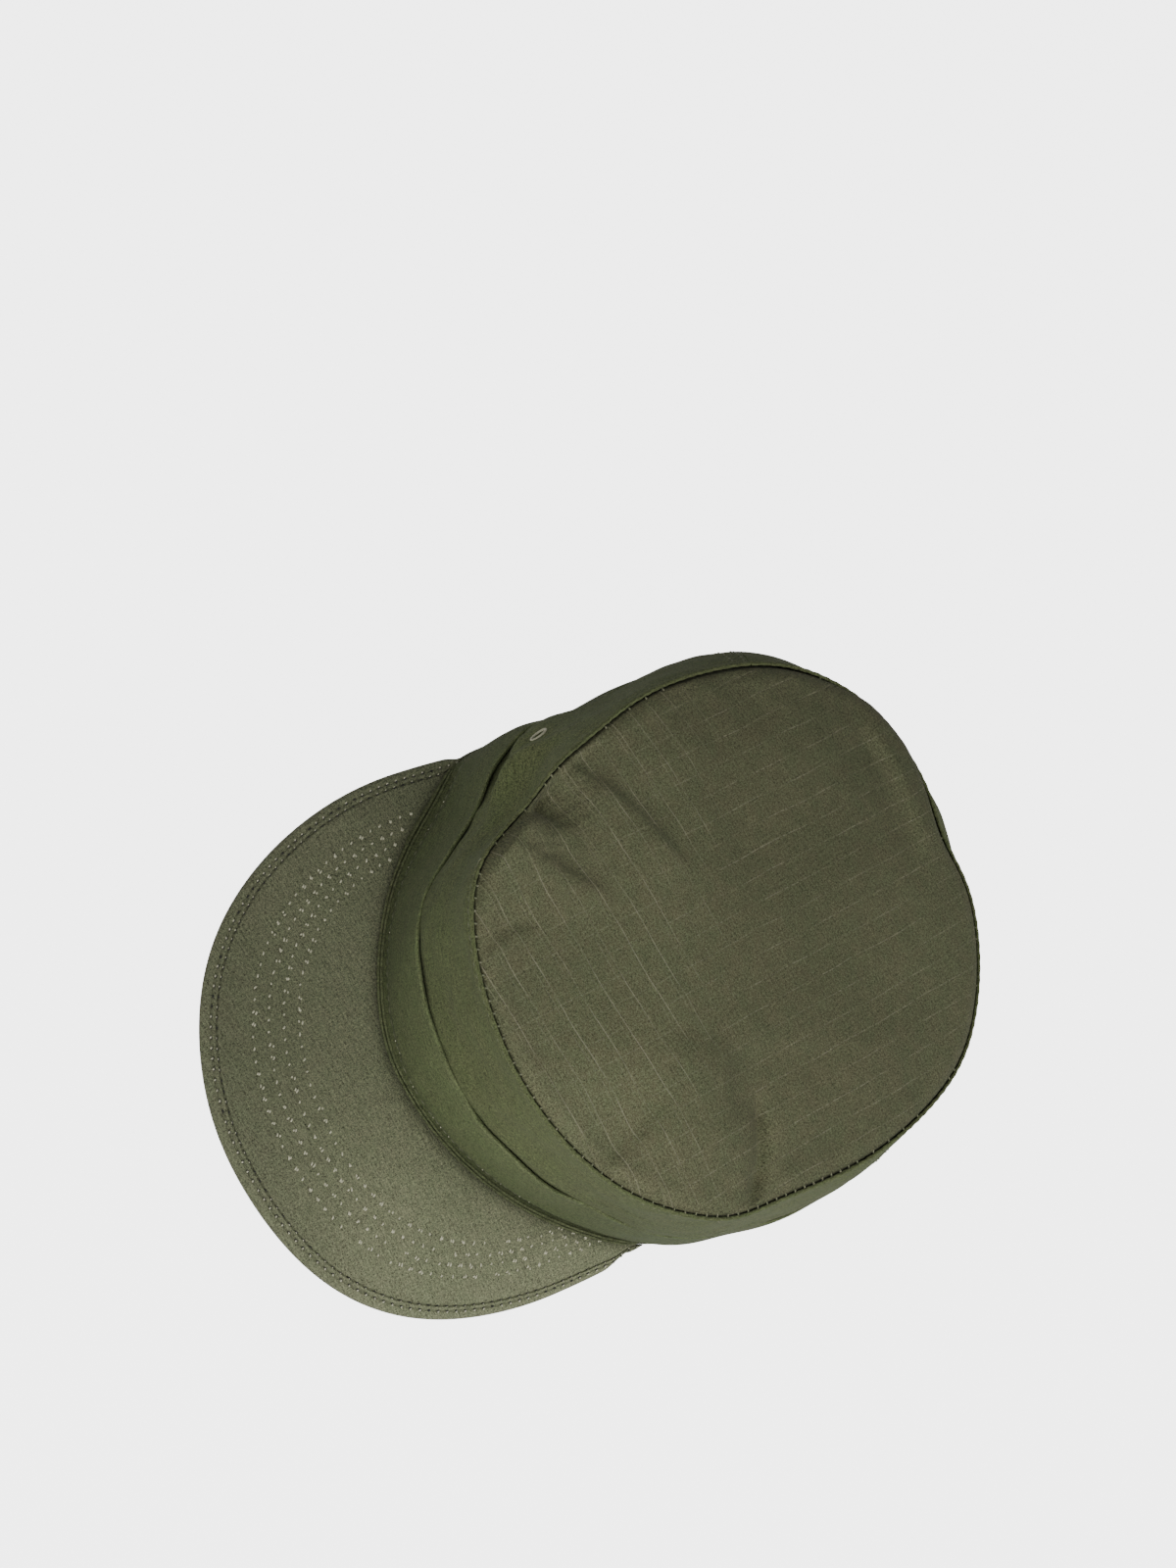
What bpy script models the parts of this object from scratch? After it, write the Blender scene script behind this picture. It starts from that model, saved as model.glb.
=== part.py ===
"""Patrol cap lying on its rim: crown top, side panels, folded band, rolled rim, peak and eyelets.

Metres, +Z up. The peak points along -Y and the wearer's left is +X. The origin is the middle
of the head opening, on the surface that the cap lies on. An angle round the cap is measured
from the front, in degrees, and grows towards the wearer's left.
"""
from collections import namedtuple
import math

import bmesh
import bpy
import numpy as np
from mathutils import Vector

# Cloth and the gap that neighbouring pieces keep
CLOTH = 0.0012
GAP = 0.0003

# Head opening, inside the side panels at the rim
OPENING_HALF_WIDTH = 0.0812
OPENING_HALF_LENGTH = 0.0962

# Rolled rim: its height, and how far the front of the rim is lifted by the peak below it
RIM_HEIGHT = 0.0024
RIM_LIFT = 0.0100
RIM_LIFT_START = 0.0070
RIM_LIFT_POWER = 1.5

# Folded band round the foot of the side panels
BAND_HEIGHT = 0.0360
BAND_THICKNESS = 0.0020

# Crown top: its plan, how far its middle lies in front of the opening's, and its height
CROWN_HALF_WIDTH = 0.0767
CROWN_HALF_LENGTH = 0.0905
CROWN_SQUARENESS = 2.2
CROWN_FORWARD = 0.0140
CROWN_HEIGHT = 0.0781
CROWN_SLOPE_DEG = 6.0
CROWN_DOME = 0.0040
CROWN_DOME_POWER = 3

# Back ridge of the crown top: how far the edge turns down behind it, over how many degrees to
# each side of the back, and how close to the edge (the higher the power, the closer)
BACK_RIDGE_DROP = 0.0040
BACK_RIDGE_SPREAD_DEG = 62.0
BACK_RIDGE_POWER = 12

# Side panels: how far they bulge at mid height, over which share of the height their creases
# grow above the band, how close to the crown's seam the creases end, and the two rear seams
SIDE_BULGE = 0.0020
CREASE_START = 0.1
CREASE_END_POWER = 6
RIGHT_SEAM_DEG = -120.0
LEFT_SEAM_DEG = 113.0

# Peak: how far it reaches past the band, its plan, its arch and its thickness
PEAK_REACH = 0.0623
PEAK_HALF_WIDTH = 0.0825
PEAK_WIDEST_AHEAD = 0.0665
PEAK_ARCH = 0.0112
PEAK_LEFT_DROOP = 0.0050
PEAK_THICKNESS = 0.0035
PEAK_ROOT_DEG = 66.0

# Vent eyelets: the ring of stitches, its hole's depth, and its place on the side panel
EYELET_RADIUS = 0.0022
EYELET_THREAD_RADIUS = 0.0008
EYELET_HOLE_DEPTH = 0.0096
EYELET_RIGHT_DEG = -69.0
EYELET_LEFT_DEG = 69.0
EYELET_HEIGHT_SHARE = 0.64

# Facets: columns round the cap, the least share of a column's width beside a seam, rows up the
# walls, columns and rows of the peak, rings across the crown, and sides of an eyelet
COLUMNS = 96
LEAST_COLUMN = 0.3
BAND_ROWS = 4
UPPER_ROWS = 4
PEAK_COLUMNS = 34
EYELET_SIDES = 16
THREAD_SIDES = 6
CROWN_RINGS = (0.0, 0.16, 0.30, 0.43, 0.55, 0.66, 0.76, 0.84, 0.90, 0.95, 0.98, 1.0)
PEAK_ROWS = (0.0, 0.15, 0.35, 0.55, 0.75, 0.92, 1.0)

# A swelling of an outline: where it is and how wide, in degrees round the cap, and how far it
# pushes out, as a share of the size that the table's own comment names
Swell = namedtuple("Swell", "angle spread push")

# Crown outline, pushes as shares of its own radius
CROWN_SWELLS = (
    Swell(-27, 5, 0.006),
    Swell(-45, 9, -0.062),
    Swell(-67, 14, -0.078),
    Swell(50, 15, 0.043),
    Swell(64, 7, 0.025),
    Swell(-134, 17, 0.080),
    Swell(-150, 8, 0.014),
    Swell(-165, 22, 0.026),
    Swell(138, 10, 0.020),
    Swell(165, 26, 0.034),
    Swell(-176, 6, -0.038),
)

# Opening outline, pushes as shares of its own radius
OPENING_SWELLS = (
    Swell(-85, 12, -0.020),
    Swell(-63, 6, 0.028),
    Swell(-25, 9, -0.013),
    Swell(-2, 7, 0.016),
    Swell(30, 13, -0.013),
    Swell(48, 7, -0.005),
)

# Side panels at mid height, pushes as shares of the crown's height
SIDE_SWELLS = (
    Swell(-60, 7, -0.030),
    Swell(-45, 11, -0.095),
    Swell(-24, 8, 0.012),
    Swell(-22, 20, -0.020),
    Swell(-2, 9, -0.016),
    Swell(30, 22, -0.034),
    Swell(44, 9, -0.018),
    Swell(100, 25, 0.020),
    Swell(-115, 18, 0.055),
    Swell(180, 50, 0.020),
)

# Peak's outer edge, pushes as shares of its distance from the opening's middle
PEAK_SWELLS = (
    Swell(-65, 5, -0.014),
    Swell(-20, 9, 0.012),
    Swell(9, 6, -0.005),
    Swell(30, 9, 0.015),
    Swell(65, 5, -0.014),
)

# How far the band's upper edge stands off the side panels, as shares of the band's height
BAND_GAPES = (
    Swell(-53, 13, 0.070),
    Swell(-5, 14, 0.017),
    Swell(30, 18, 0.014),
)

# Creases of the side panels above the band: where, how wide and how far out. Heights are shares
# of the panel's height, pushes shares of the crown's height
Crease = namedtuple("Crease", "angle height spread tall push")
SIDE_CREASES = (
    Crease(-46, 0.60, 14, 0.06, 0.034),
    Crease(-72, 0.54, 10, 0.06, 0.022),
    Crease(-58, 0.80, 16, 0.08, -0.018),
    Crease(-108, 0.55, 7, 0.22, -0.022),
    Crease(-93, 0.50, 6, 0.20, 0.014),
    Crease(62, 0.72, 7, 0.16, 0.016),
    Crease(84, 0.55, 6, 0.22, -0.020),
    Crease(150, 0.55, 8, 0.20, -0.018),
    Crease(-160, 0.60, 8, 0.20, 0.018),
)

# Folds and dents of the crown top, each along a line from one place to another. Places are
# shares of the crown's half width and half length, width and depth shares of its half width
Fold = namedtuple("Fold", "from_x from_y to_x to_y width depth")
CROWN_FOLDS = (
    Fold(-0.82, -0.34, -0.50, -0.20, 0.055, 0.030),
    Fold(-0.50, -0.20, -0.10, -0.22, 0.070, 0.020),
    Fold(-0.66, -0.66, -0.60, -0.50, 0.090, 0.050),
    Fold(-0.57, -0.70, -0.30, -0.48, 0.055, 0.024),
    Fold(-0.22, -0.92, -0.26, -0.80, 0.050, 0.022),
    Fold(-0.20, -0.74, 0.06, -0.62, 0.060, 0.014),
    Fold(0.62, -0.22, 0.88, -0.30, 0.045, 0.034),
    Fold(0.56, -0.66, 0.66, -0.80, 0.055, 0.018),
    Fold(-0.88, 0.02, -0.52, 0.16, 0.080, 0.022),
    Fold(-0.92, 0.40, -0.62, 0.36, 0.060, 0.016),
    Fold(-0.24, 0.93, -0.12, 0.96, 0.060, 0.040),
    Fold(-0.45, 0.86, 0.45, 0.82, 0.075, -0.020),
    Fold(-0.30, -0.45, 0.20, -0.40, 0.180, -0.014),
    Fold(0.30, 0.10, 0.50, 0.40, 0.200, 0.012),
)

# Width of the flat edge, beside the crown's seam, into which the folds fade, as a share
FOLD_FADE = 0.12


def shortest_turn(angle):
    """The same angle, between -180 and 180 degrees."""
    return (angle + 180.0) % 360.0 - 180.0


def swelling(angle, rows):
    """Sum of a table's swellings at the angles given."""
    total = np.zeros_like(angle)
    for row in rows:
        away = shortest_turn(angle - row.angle) / row.spread
        total += row.push * np.exp(-0.5 * away ** 2)
    return total


def direction(angle):
    """Level direction away from the cap's middle, at each angle."""
    turn = np.radians(angle)
    return np.stack([np.sin(turn), -np.cos(turn), np.zeros_like(turn)], axis=-1)


def rounded(angle, half_width, half_length, squareness=2.0):
    """Radius of an ellipse, or of a squarer oval, at each angle."""
    turn = np.radians(angle)
    across = np.abs(np.sin(turn) / half_width) ** squareness
    along = np.abs(np.cos(turn) / half_length) ** squareness
    return (across + along) ** (-1.0 / squareness)


def rim_point(angle, outward):
    """Point of the rim's underside, this far outside the inner face of the side panels."""
    radius = rounded(angle, OPENING_HALF_WIDTH, OPENING_HALF_LENGTH)
    radius = radius * (1.0 + swelling(angle, OPENING_SWELLS))
    way = direction(angle)
    point = way * (radius + outward)[..., None]
    ahead = (-way[..., 1] * radius - RIM_LIFT_START) / (OPENING_HALF_LENGTH - RIM_LIFT_START)
    point[..., 2] = RIM_LIFT * np.clip(ahead, 0.0, None) ** RIM_LIFT_POWER
    return point


def crown_point(angle, share):
    """Point of the crown's own sloping plane, at this share of the way out to its seam."""
    radius = rounded(angle, CROWN_HALF_WIDTH, CROWN_HALF_LENGTH, CROWN_SQUARENESS)
    radius = radius * (1.0 + swelling(angle, CROWN_SWELLS)) * share
    point = direction(angle) * radius[..., None]
    fall = math.tan(math.radians(CROWN_SLOPE_DEG))
    point[..., 2] = CROWN_HEIGHT - fall * point[..., 1]
    point[..., 1] -= CROWN_FORWARD
    return point


def back_drop(angle, share):
    """How far the crown's edge turns down behind its back ridge."""
    away = shortest_turn(angle - 180.0) / BACK_RIDGE_SPREAD_DEG
    return BACK_RIDGE_DROP * np.exp(-0.5 * away ** 4) * share ** BACK_RIDGE_POWER


def seam_point(angle):
    """Point of the seam between the crown top and the side panels."""
    point = crown_point(angle, np.ones_like(angle))
    point[..., 2] -= back_drop(angle, 1.0)
    return point


def wall_height(angle):
    """Height of the side panels, from the rim's underside to the crown's seam."""
    return seam_point(angle)[..., 2] - rim_point(angle, CLOTH)[..., 2]


def wall_point(angle, share, outward=0.0):
    """Point of the side panels' outer face, at this share of their height."""
    low = rim_point(angle, CLOTH)
    high = seam_point(angle)
    point = low + (high - low) * share[..., None]
    bulge = SIDE_BULGE + swelling(angle, SIDE_SWELLS) * CROWN_HEIGHT
    bulge = bulge * 4.0 * share * (1.0 - share)
    above_band = (share - BAND_HEIGHT / wall_height(angle)) / CREASE_START
    fading = np.clip(above_band, 0.0, 1.0) * (1.0 - share ** CREASE_END_POWER)
    for row in SIDE_CREASES:
        away = shortest_turn(angle - row.angle) / row.spread
        rise = (share - row.height) / row.tall
        push = row.push * np.exp(-0.5 * (away ** 2 + rise ** 2))
        bulge += CROWN_HEIGHT * push * fading
    return point + direction(angle) * (bulge + outward)[..., None]


def fold_depth(x, y, fold):
    """Depth of one fold at plan places given as shares of the crown."""
    start = np.array([fold.from_x, fold.from_y])
    way = np.array([fold.to_x, fold.to_y]) - start
    along = ((x - start[0]) * way[0] + (y - start[1]) * way[1]) / (way @ way)
    along = np.clip(along, 0.0, 1.0)
    away = np.hypot(x - start[0] - along * way[0], y - start[1] - along * way[1])
    return fold.depth * np.exp(-(away / fold.width) ** 2)


def crown_surface(angle, share):
    """Outer face of the crown top, domed, folded and turned down at the back."""
    point = crown_point(angle, share)
    point[..., 2] += CROWN_DOME * (1.0 - share ** CROWN_DOME_POWER) - back_drop(angle, share)
    x = point[..., 0] / CROWN_HALF_WIDTH
    y = (point[..., 1] + CROWN_FORWARD) / CROWN_HALF_LENGTH
    inside = np.clip((1.0 - share) / FOLD_FADE, 0.0, 1.0)
    fading = inside ** 2 * (3.0 - 2.0 * inside)
    for fold in CROWN_FOLDS:
        point[..., 2] -= fold_depth(x, y, fold) * CROWN_HALF_WIDTH * fading
    return point


def peak_seat(angle):
    """Level distance from the opening's middle to the face that the peak is sewn against."""
    reach = CLOTH + GAP + BAND_THICKNESS
    at_rim = np.hypot(*np.moveaxis(rim_point(angle, reach), -1, 0)[:2])
    share = PEAK_THICKNESS / wall_height(angle)
    above = band_face(angle, share, BAND_THICKNESS)
    above = np.hypot(above[..., 0], above[..., 1])
    return np.maximum(at_rim, above) + GAP


def peak_edge_radius(angle):
    """Level distance from the opening's middle to the peak's outer edge."""
    turn = np.radians(angle)
    across = np.abs(np.sin(turn))
    ahead = np.cos(turn)
    front = OPENING_HALF_LENGTH + CLOTH + GAP + BAND_THICKNESS + PEAK_REACH
    half_length = front - PEAK_WIDEST_AHEAD
    square = (across / PEAK_HALF_WIDTH) ** 2 + (ahead / half_length) ** 2
    middle = ahead * PEAK_WIDEST_AHEAD / half_length ** 2
    rest = (PEAK_WIDEST_AHEAD / half_length) ** 2 - 1.0
    radius = (middle + np.sqrt(middle ** 2 - square * rest)) / square
    beside = PEAK_HALF_WIDTH / np.maximum(across, 1e-6)
    radius = np.where(radius * ahead < PEAK_WIDEST_AHEAD, beside, radius)
    return radius * (1.0 + swelling(angle, PEAK_SWELLS))


def peak_underside(angle, share):
    """Underside of the peak, from its root at the band to its outer edge."""
    root = peak_seat(angle)
    edge = np.maximum(peak_edge_radius(angle), root + PEAK_THICKNESS)
    inner = direction(angle) * root[..., None]
    inner[..., 2] = rim_point(angle, root)[..., 2]
    outer = direction(angle) * edge[..., None]
    sideways = outer[..., 0] / PEAK_HALF_WIDTH
    outer[..., 2] = PEAK_ARCH * np.clip(1.0 - sideways ** 2, 0.0, None)
    outer[..., 1] -= PEAK_LEFT_DROOP * sideways
    return inner + (outer - inner) * share[..., None]


def band_face(angle, share, outward):
    """Face of the band, this far outside the band's inner face."""
    up = share * wall_height(angle) / BAND_HEIGHT
    gape = swelling(angle, BAND_GAPES) * BAND_HEIGHT * np.clip(up, 0.0, 1.0) ** 2
    return wall_point(angle, share, GAP + gape + outward)


def quad_strips(mesh, rows, closed):
    """Faces between neighbouring rows of vertices, closed round the cap or open."""
    for low, high in zip(rows[:-1], rows[1:]):
        last = len(low) if closed else len(low) - 1
        for column in range(last):
            ahead = (column + 1) % len(low)
            mesh.faces.new((low[column], low[ahead], high[ahead], high[column]))


def finish(name, mesh, collection):
    """Object of this name from the mesh built so far."""
    mesh_data = bpy.data.meshes.new(name)
    mesh.to_mesh(mesh_data)
    mesh.free()
    piece = bpy.data.objects.new(name, mesh_data)
    collection.objects.link(piece)
    return piece


def lofted_sheet(name, grid, closed, collection):
    """Sheet lofted through rows of points. A closed one ends in a fan round its last point."""
    mesh = bmesh.new()
    rows = [[mesh.verts.new(point) for point in row] for row in grid[:-1]]
    if closed:
        middle = mesh.verts.new(grid[-1][0])
        for column in range(len(rows[-1])):
            ahead = (column + 1) % len(rows[-1])
            mesh.faces.new((rows[-1][column], rows[-1][ahead], middle))
    else:
        rows.append([mesh.verts.new(point) for point in grid[-1]])
    quad_strips(mesh, rows, closed)
    return finish(name, mesh, collection)


def lofted_wall(name, outer, inner, closed, collection):
    """Wall lofted between its outer and its inner face, rows of points from foot to top."""
    mesh = bmesh.new()
    outer = [[mesh.verts.new(point) for point in row] for row in outer]
    inner = [[mesh.verts.new(point) for point in row] for row in inner]
    quad_strips(mesh, outer + inner[::-1] + outer[:1], closed)
    if not closed:
        for column in (0, -1):
            ends = [[row[column] for row in face] for face in (outer, inner)]
            quad_strips(mesh, ends if column == 0 else ends[::-1], False)
    return finish(name, mesh, collection)


def thicken(piece, thickness, offset):
    """Gives a lofted sheet its thickness, towards its back (-1) or its front (+1)."""
    solidify = piece.modifiers.new("thickness", "SOLIDIFY")
    solidify.thickness = thickness
    solidify.offset = offset
    return solidify


def colour(red, green, blue):
    """Linear colour from the 0 to 255 values of a screen."""
    linear = []
    for value in (red, green, blue):
        value = value / 255.0
        linear.append(value / 12.92 if value <= 0.04045 else ((value + 0.055) / 1.055) ** 2.4)
    return (*linear, 1.0)


def paint(piece, base_colour, roughness):
    """Gives a piece its own plain material."""
    material = bpy.data.materials.new(piece.name)
    material.use_nodes = True
    shader = material.node_tree.nodes["Principled BSDF"]
    shader.inputs["Base Color"].default_value = base_colour
    shader.inputs["Roughness"].default_value = roughness
    shader.inputs["Metallic"].default_value = 0.0
    material.diffuse_color = base_colour
    piece.data.materials.append(material)


def band_rows(angle):
    """Height shares of the rows that the band and the side panels share, from rim to band top."""
    low = (RIM_HEIGHT + GAP) / wall_height(angle)
    high = BAND_HEIGHT / wall_height(angle)
    steps = np.linspace(0.0, 1.0, BAND_ROWS + 1)
    return [low + (high - low) * step for step in steps]


def make_crown(collection):
    """Crown top: one sheet of cloth out to the seam."""
    angle = np.arange(COLUMNS) * 360.0 / COLUMNS
    rings = [crown_surface(angle, np.full_like(angle, share)) for share in CROWN_RINGS[::-1]]
    piece = lofted_sheet("crown_top", rings, True, collection)
    thicken(piece, CLOTH, -1.0)
    paint(piece, colour(88, 87, 66), 0.9)


def side_columns(start, end):
    """Angles of a panel's columns, on the cap's common columns and at its two seams."""
    step = 360.0 / COLUMNS
    inner = [k * step for k in range(-2 * COLUMNS, 2 * COLUMNS)]
    least = LEAST_COLUMN * step
    inner = [angle for angle in inner if start + least < angle < end - least]
    return np.array([start] + inner + [end])


def make_side(name, start, end, base_colour, collection):
    """Side panel from one rear seam to the other, from the rim up to the crown's underside."""
    half_gap = math.degrees(0.5 * GAP / OPENING_HALF_LENGTH)
    angle = side_columns(start + half_gap, end - half_gap)
    rows = band_rows(angle)
    top = 1.0 - (CLOTH + GAP) / wall_height(angle)
    for step in range(1, UPPER_ROWS + 1):
        rows.append(rows[BAND_ROWS] + (top - rows[BAND_ROWS]) * step / UPPER_ROWS)
    outer = [wall_point(angle, share) for share in rows]
    inner = [wall_point(angle, share, -CLOTH) for share in rows]
    piece = lofted_wall(name, outer, inner, False, collection)
    paint(piece, base_colour, 0.9)
    return piece


def make_band(collection):
    """Folded band, standing off the side panels where it gapes."""
    angle = np.arange(COLUMNS) * 360.0 / COLUMNS
    outer = [band_face(angle, share, BAND_THICKNESS) for share in band_rows(angle)]
    inner = [band_face(angle, share, 0.0) for share in band_rows(angle)]
    piece = lofted_wall("outer_band", outer, inner, True, collection)
    paint(piece, colour(78, 83, 60), 0.9)


def make_rim(collection):
    """Rolled rim under the side panels and the band, flat below."""
    angle = np.arange(COLUMNS) * 360.0 / COLUMNS
    up = np.array([0.0, 0.0, RIM_HEIGHT])
    outer = rim_point(angle, CLOTH + GAP + BAND_THICKNESS)
    inner = rim_point(angle, 0.0)
    piece = lofted_wall("rim_binding", [outer, outer + up], [inner, inner + up], True, collection)
    paint(piece, colour(92, 96, 74), 0.9)


def make_peak(collection):
    """Peak: a stiff arched sheet, sewn to the rim along its root."""
    angle = np.linspace(-PEAK_ROOT_DEG, PEAK_ROOT_DEG, PEAK_COLUMNS + 1)
    rows = [peak_underside(angle, np.full_like(angle, share)) for share in PEAK_ROWS]
    piece = lofted_sheet("peak", rows[::-1], False, collection)
    thicken(piece, PEAK_THICKNESS, 1.0)
    paint(piece, colour(108, 108, 88), 0.9)


def eyelet_frame(angle_deg):
    """Middle of an eyelet, in the middle of the cloth, and the way that it faces."""
    spread = math.degrees(EYELET_RADIUS / OPENING_HALF_WIDTH)
    rise = EYELET_RADIUS / CROWN_HEIGHT
    angle = np.array([angle_deg, angle_deg + spread, angle_deg])
    share = np.array([EYELET_HEIGHT_SHARE, EYELET_HEIGHT_SHARE, EYELET_HEIGHT_SHARE + rise])
    centre, beside, above = (Vector(point) for point in wall_point(angle, share))
    facing = (beside - centre).cross(above - centre).normalized()
    return centre - facing * (CLOTH / 2.0), facing


def make_eyelet(name, angle_deg, panel, collection, cutters):
    """Ring of stitches round a vent hole, set in a hole through the side panel."""
    centre, facing = eyelet_frame(angle_deg)
    turn = facing.to_track_quat("Z", "Y").to_euler()
    bpy.ops.mesh.primitive_torus_add(
        major_radius=EYELET_RADIUS,
        minor_radius=EYELET_THREAD_RADIUS,
        major_segments=EYELET_SIDES,
        minor_segments=THREAD_SIDES,
        location=centre,
        rotation=turn,
    )
    ring = bpy.context.object
    ring.name = name
    move_to(ring, collection)
    paint(ring, colour(120, 120, 96), 0.8)
    bpy.ops.mesh.primitive_cylinder_add(
        vertices=EYELET_SIDES,
        radius=EYELET_RADIUS + EYELET_THREAD_RADIUS + GAP,
        depth=EYELET_HOLE_DEPTH,
        location=centre,
        rotation=turn,
    )
    cutter = bpy.context.object
    cutter.name = name + "_hole"
    cutter.display_type = "WIRE"
    cutter.hide_render = True
    move_to(cutter, cutters)
    hole = panel.modifiers.new(name + "_hole", "BOOLEAN")
    hole.operation = "DIFFERENCE"
    hole.solver = "EXACT"
    hole.object = cutter


def move_to(piece, collection):
    """Puts a new object in this collection alone."""
    for holder in list(piece.users_collection):
        holder.objects.unlink(piece)
    collection.objects.link(piece)


def new_collection(name):
    """Collection of this name in the scene."""
    collection = bpy.data.collections.new(name)
    bpy.context.scene.collection.children.link(collection)
    return collection


def main():
    for leftover in list(bpy.data.objects):
        bpy.data.objects.remove(leftover, do_unlink=True)
    cap = new_collection("patrol_cap")
    cutters = new_collection("cutters")
    cutters.hide_render = True
    make_crown(cap)
    front_colour = colour(80, 85, 62)
    rear_colour = colour(70, 73, 52)
    front = make_side("side_front", RIGHT_SEAM_DEG, LEFT_SEAM_DEG, front_colour, cap)
    make_side("side_rear", LEFT_SEAM_DEG, RIGHT_SEAM_DEG + 360.0, rear_colour, cap)
    make_band(cap)
    make_rim(cap)
    make_peak(cap)
    make_eyelet("eyelet_right", EYELET_RIGHT_DEG, front, cap, cutters)
    make_eyelet("eyelet_left", EYELET_LEFT_DEG, front, cap, cutters)


main()
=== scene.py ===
"""Looks of the patrol cap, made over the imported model's frame.

Metres, +Z up. The peak points along -Y and the wearer's left is +X. The origin is the middle
of the head opening, on the surface that the cap lies on. An angle round the cap is measured
from the front, in degrees, and grows towards the wearer's left.
"""

from collections import namedtuple
from functools import partialmethod
import math

import bpy
import numpy as np
from mathutils import Matrix, Vector


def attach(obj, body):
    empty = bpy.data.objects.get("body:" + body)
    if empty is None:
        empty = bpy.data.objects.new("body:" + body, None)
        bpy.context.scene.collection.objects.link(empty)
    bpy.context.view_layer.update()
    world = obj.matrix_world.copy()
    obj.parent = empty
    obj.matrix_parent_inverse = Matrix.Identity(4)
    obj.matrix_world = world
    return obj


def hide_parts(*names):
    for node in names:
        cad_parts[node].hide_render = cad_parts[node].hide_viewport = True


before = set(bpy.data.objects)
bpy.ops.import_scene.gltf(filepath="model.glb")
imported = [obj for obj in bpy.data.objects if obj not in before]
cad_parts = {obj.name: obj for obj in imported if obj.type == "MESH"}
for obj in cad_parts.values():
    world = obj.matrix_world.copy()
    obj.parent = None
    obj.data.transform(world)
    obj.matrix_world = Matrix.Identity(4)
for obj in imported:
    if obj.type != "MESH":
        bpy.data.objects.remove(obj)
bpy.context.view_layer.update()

UP = np.array([0.0, 0.0, 1.0])
LEVEL = np.array([1.0, 1.0, 0.0])
WHITE = (1.0, 1.0, 1.0, 1.0)

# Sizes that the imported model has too

CLOTH = 0.0012
GAP = 0.0003
OPENING_HALF_WIDTH = 0.0812
OPENING_HALF_LENGTH = 0.0962
RIM_HEIGHT = 0.0024
RIM_LIFT = 0.0100
RIM_LIFT_START = 0.0070
RIM_LIFT_POWER = 1.5
BAND_HEIGHT = 0.0360
BAND_THICKNESS = 0.0020
CROWN_HALF_WIDTH = 0.0767
CROWN_HALF_LENGTH = 0.0905
CROWN_SQUARENESS = 2.2
CROWN_FORWARD = 0.0140
CROWN_HEIGHT = 0.0781
CROWN_SLOPE_DEG = 6.0
CROWN_DOME = 0.0040
CROWN_DOME_POWER = 3
BACK_RIDGE_DROP = 0.0040
BACK_RIDGE_SPREAD_DEG = 62.0
BACK_RIDGE_POWER = 12
SIDE_BULGE = 0.0020
CREASE_START = 0.1
CREASE_END_POWER = 6
RIGHT_SEAM_DEG = -120.0
LEFT_SEAM_DEG = 113.0
PEAK_REACH = 0.0623
PEAK_HALF_WIDTH = 0.0825
PEAK_WIDEST_AHEAD = 0.0665
PEAK_ARCH = 0.0112
PEAK_LEFT_DROOP = 0.0050
PEAK_THICKNESS = 0.0035
PEAK_ROOT_DEG = 66.0
EYELET_RADIUS = 0.0030
EYELET_THREAD_RADIUS = 0.00036
EYELET_DEG = 69.0
EYELET_HEIGHT_SHARE = 0.64
EYELET_PINCH = 0.50

# Finish of the crown's seam: the ditch, the crown's rounded shoulder, the panels' rolled edge and
# the second stitch row below it
DITCH = 0.00025
SHOULDER_DROP = 0.0007
SHOULDER_WIDTH = 0.0008
SEAM_CLOSE = 0.0001
# Painted light across the crown: lighter before its broad ridge and darker behind it, by this much
RIDGE_PAINTED_LIGHT = 0.16
FOLD_FADE = 0.0032
PUFF = 0.0005
PUFF_INSET = 0.0040
PUFF_SPREAD = 0.0030
ROLL_THICKNESS = 0.0011
ROLL_LOWER = 0.0006
ROLL_RIDGE = 0.00035
ROLL_DEPTH = 0.0012
ROLL_SPREAD = 0.0009
TOPSTITCH_DEPTH = 0.0027
TOPSTITCH_GROOVE = 0.00022
TOPSTITCH_SPREAD = 0.0004
TOPSTITCH_FROM_DEG = -29.5
TOPSTITCH_TO_DEG = 62.0
PUCKER = 0.00010
PUCKER_REACH = 0.0030
PUCKER_DEPTH = 0.0020
PUCKER_TALL = 0.0028
STITCH_PITCH = 0.0037
REAR_SEAM_ROWS = (0.0016, 0.0062)

# The crown's cloth where it hangs over its seam, and where it is turned down into the ditch
HANG_REACH = 0.0003
HANG_LIFT = 0.0013
HANG_OUT = 0.0009
HANG_SPREAD = 0.0040
HANG_START = 0.72
HANG_TURNED = 0.4
TURNED_LEAST = 0.0003
TURNED_DEPTHS = (0.0005, 0.0017, 0.0031, 0.0047)
TURNED_THICKNESS = 0.8 * CLOTH

# Finish of the band, and of the corner between band and peak
BAND_FOLD_THICKNESS = 0.0013
BELLY_LEVEL = 0.0370
BELLY_TALL = 0.0075
BELLY_LEAST = 0.7 * GAP
FOOT_TUCK = 0.0010
FOOT_LEVEL = 0.0068
FOOT_TALL = 0.0020
BAND_STITCH_HEIGHT = 0.0070
WELT_RADIUS = 0.00045
WELT_RIDGES = ((0.0008, 0.0009), (0.0016, 0.0001))
ROOT_DIP = 0.0009
ROOT_DIP_WIDTH = 0.0024

# Rim's section, as shares of the distance out to the band's face and of the rim's height
RIM_PROFILE = ((0.0, 0.0), (0.35, 0.0), (0.7, 0.0), (1.0, 0.0), (1.12, 0.12), (1.18, 0.3),
               (1.16, 0.45), (1.06, 0.55), (1.08, 0.66), (1.12, 0.78), (1.08, 0.92), (1.0, 1.0),
               (0.7, 1.0), (0.35, 1.0), (0.0, 1.0), (0.0, 0.5))

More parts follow.
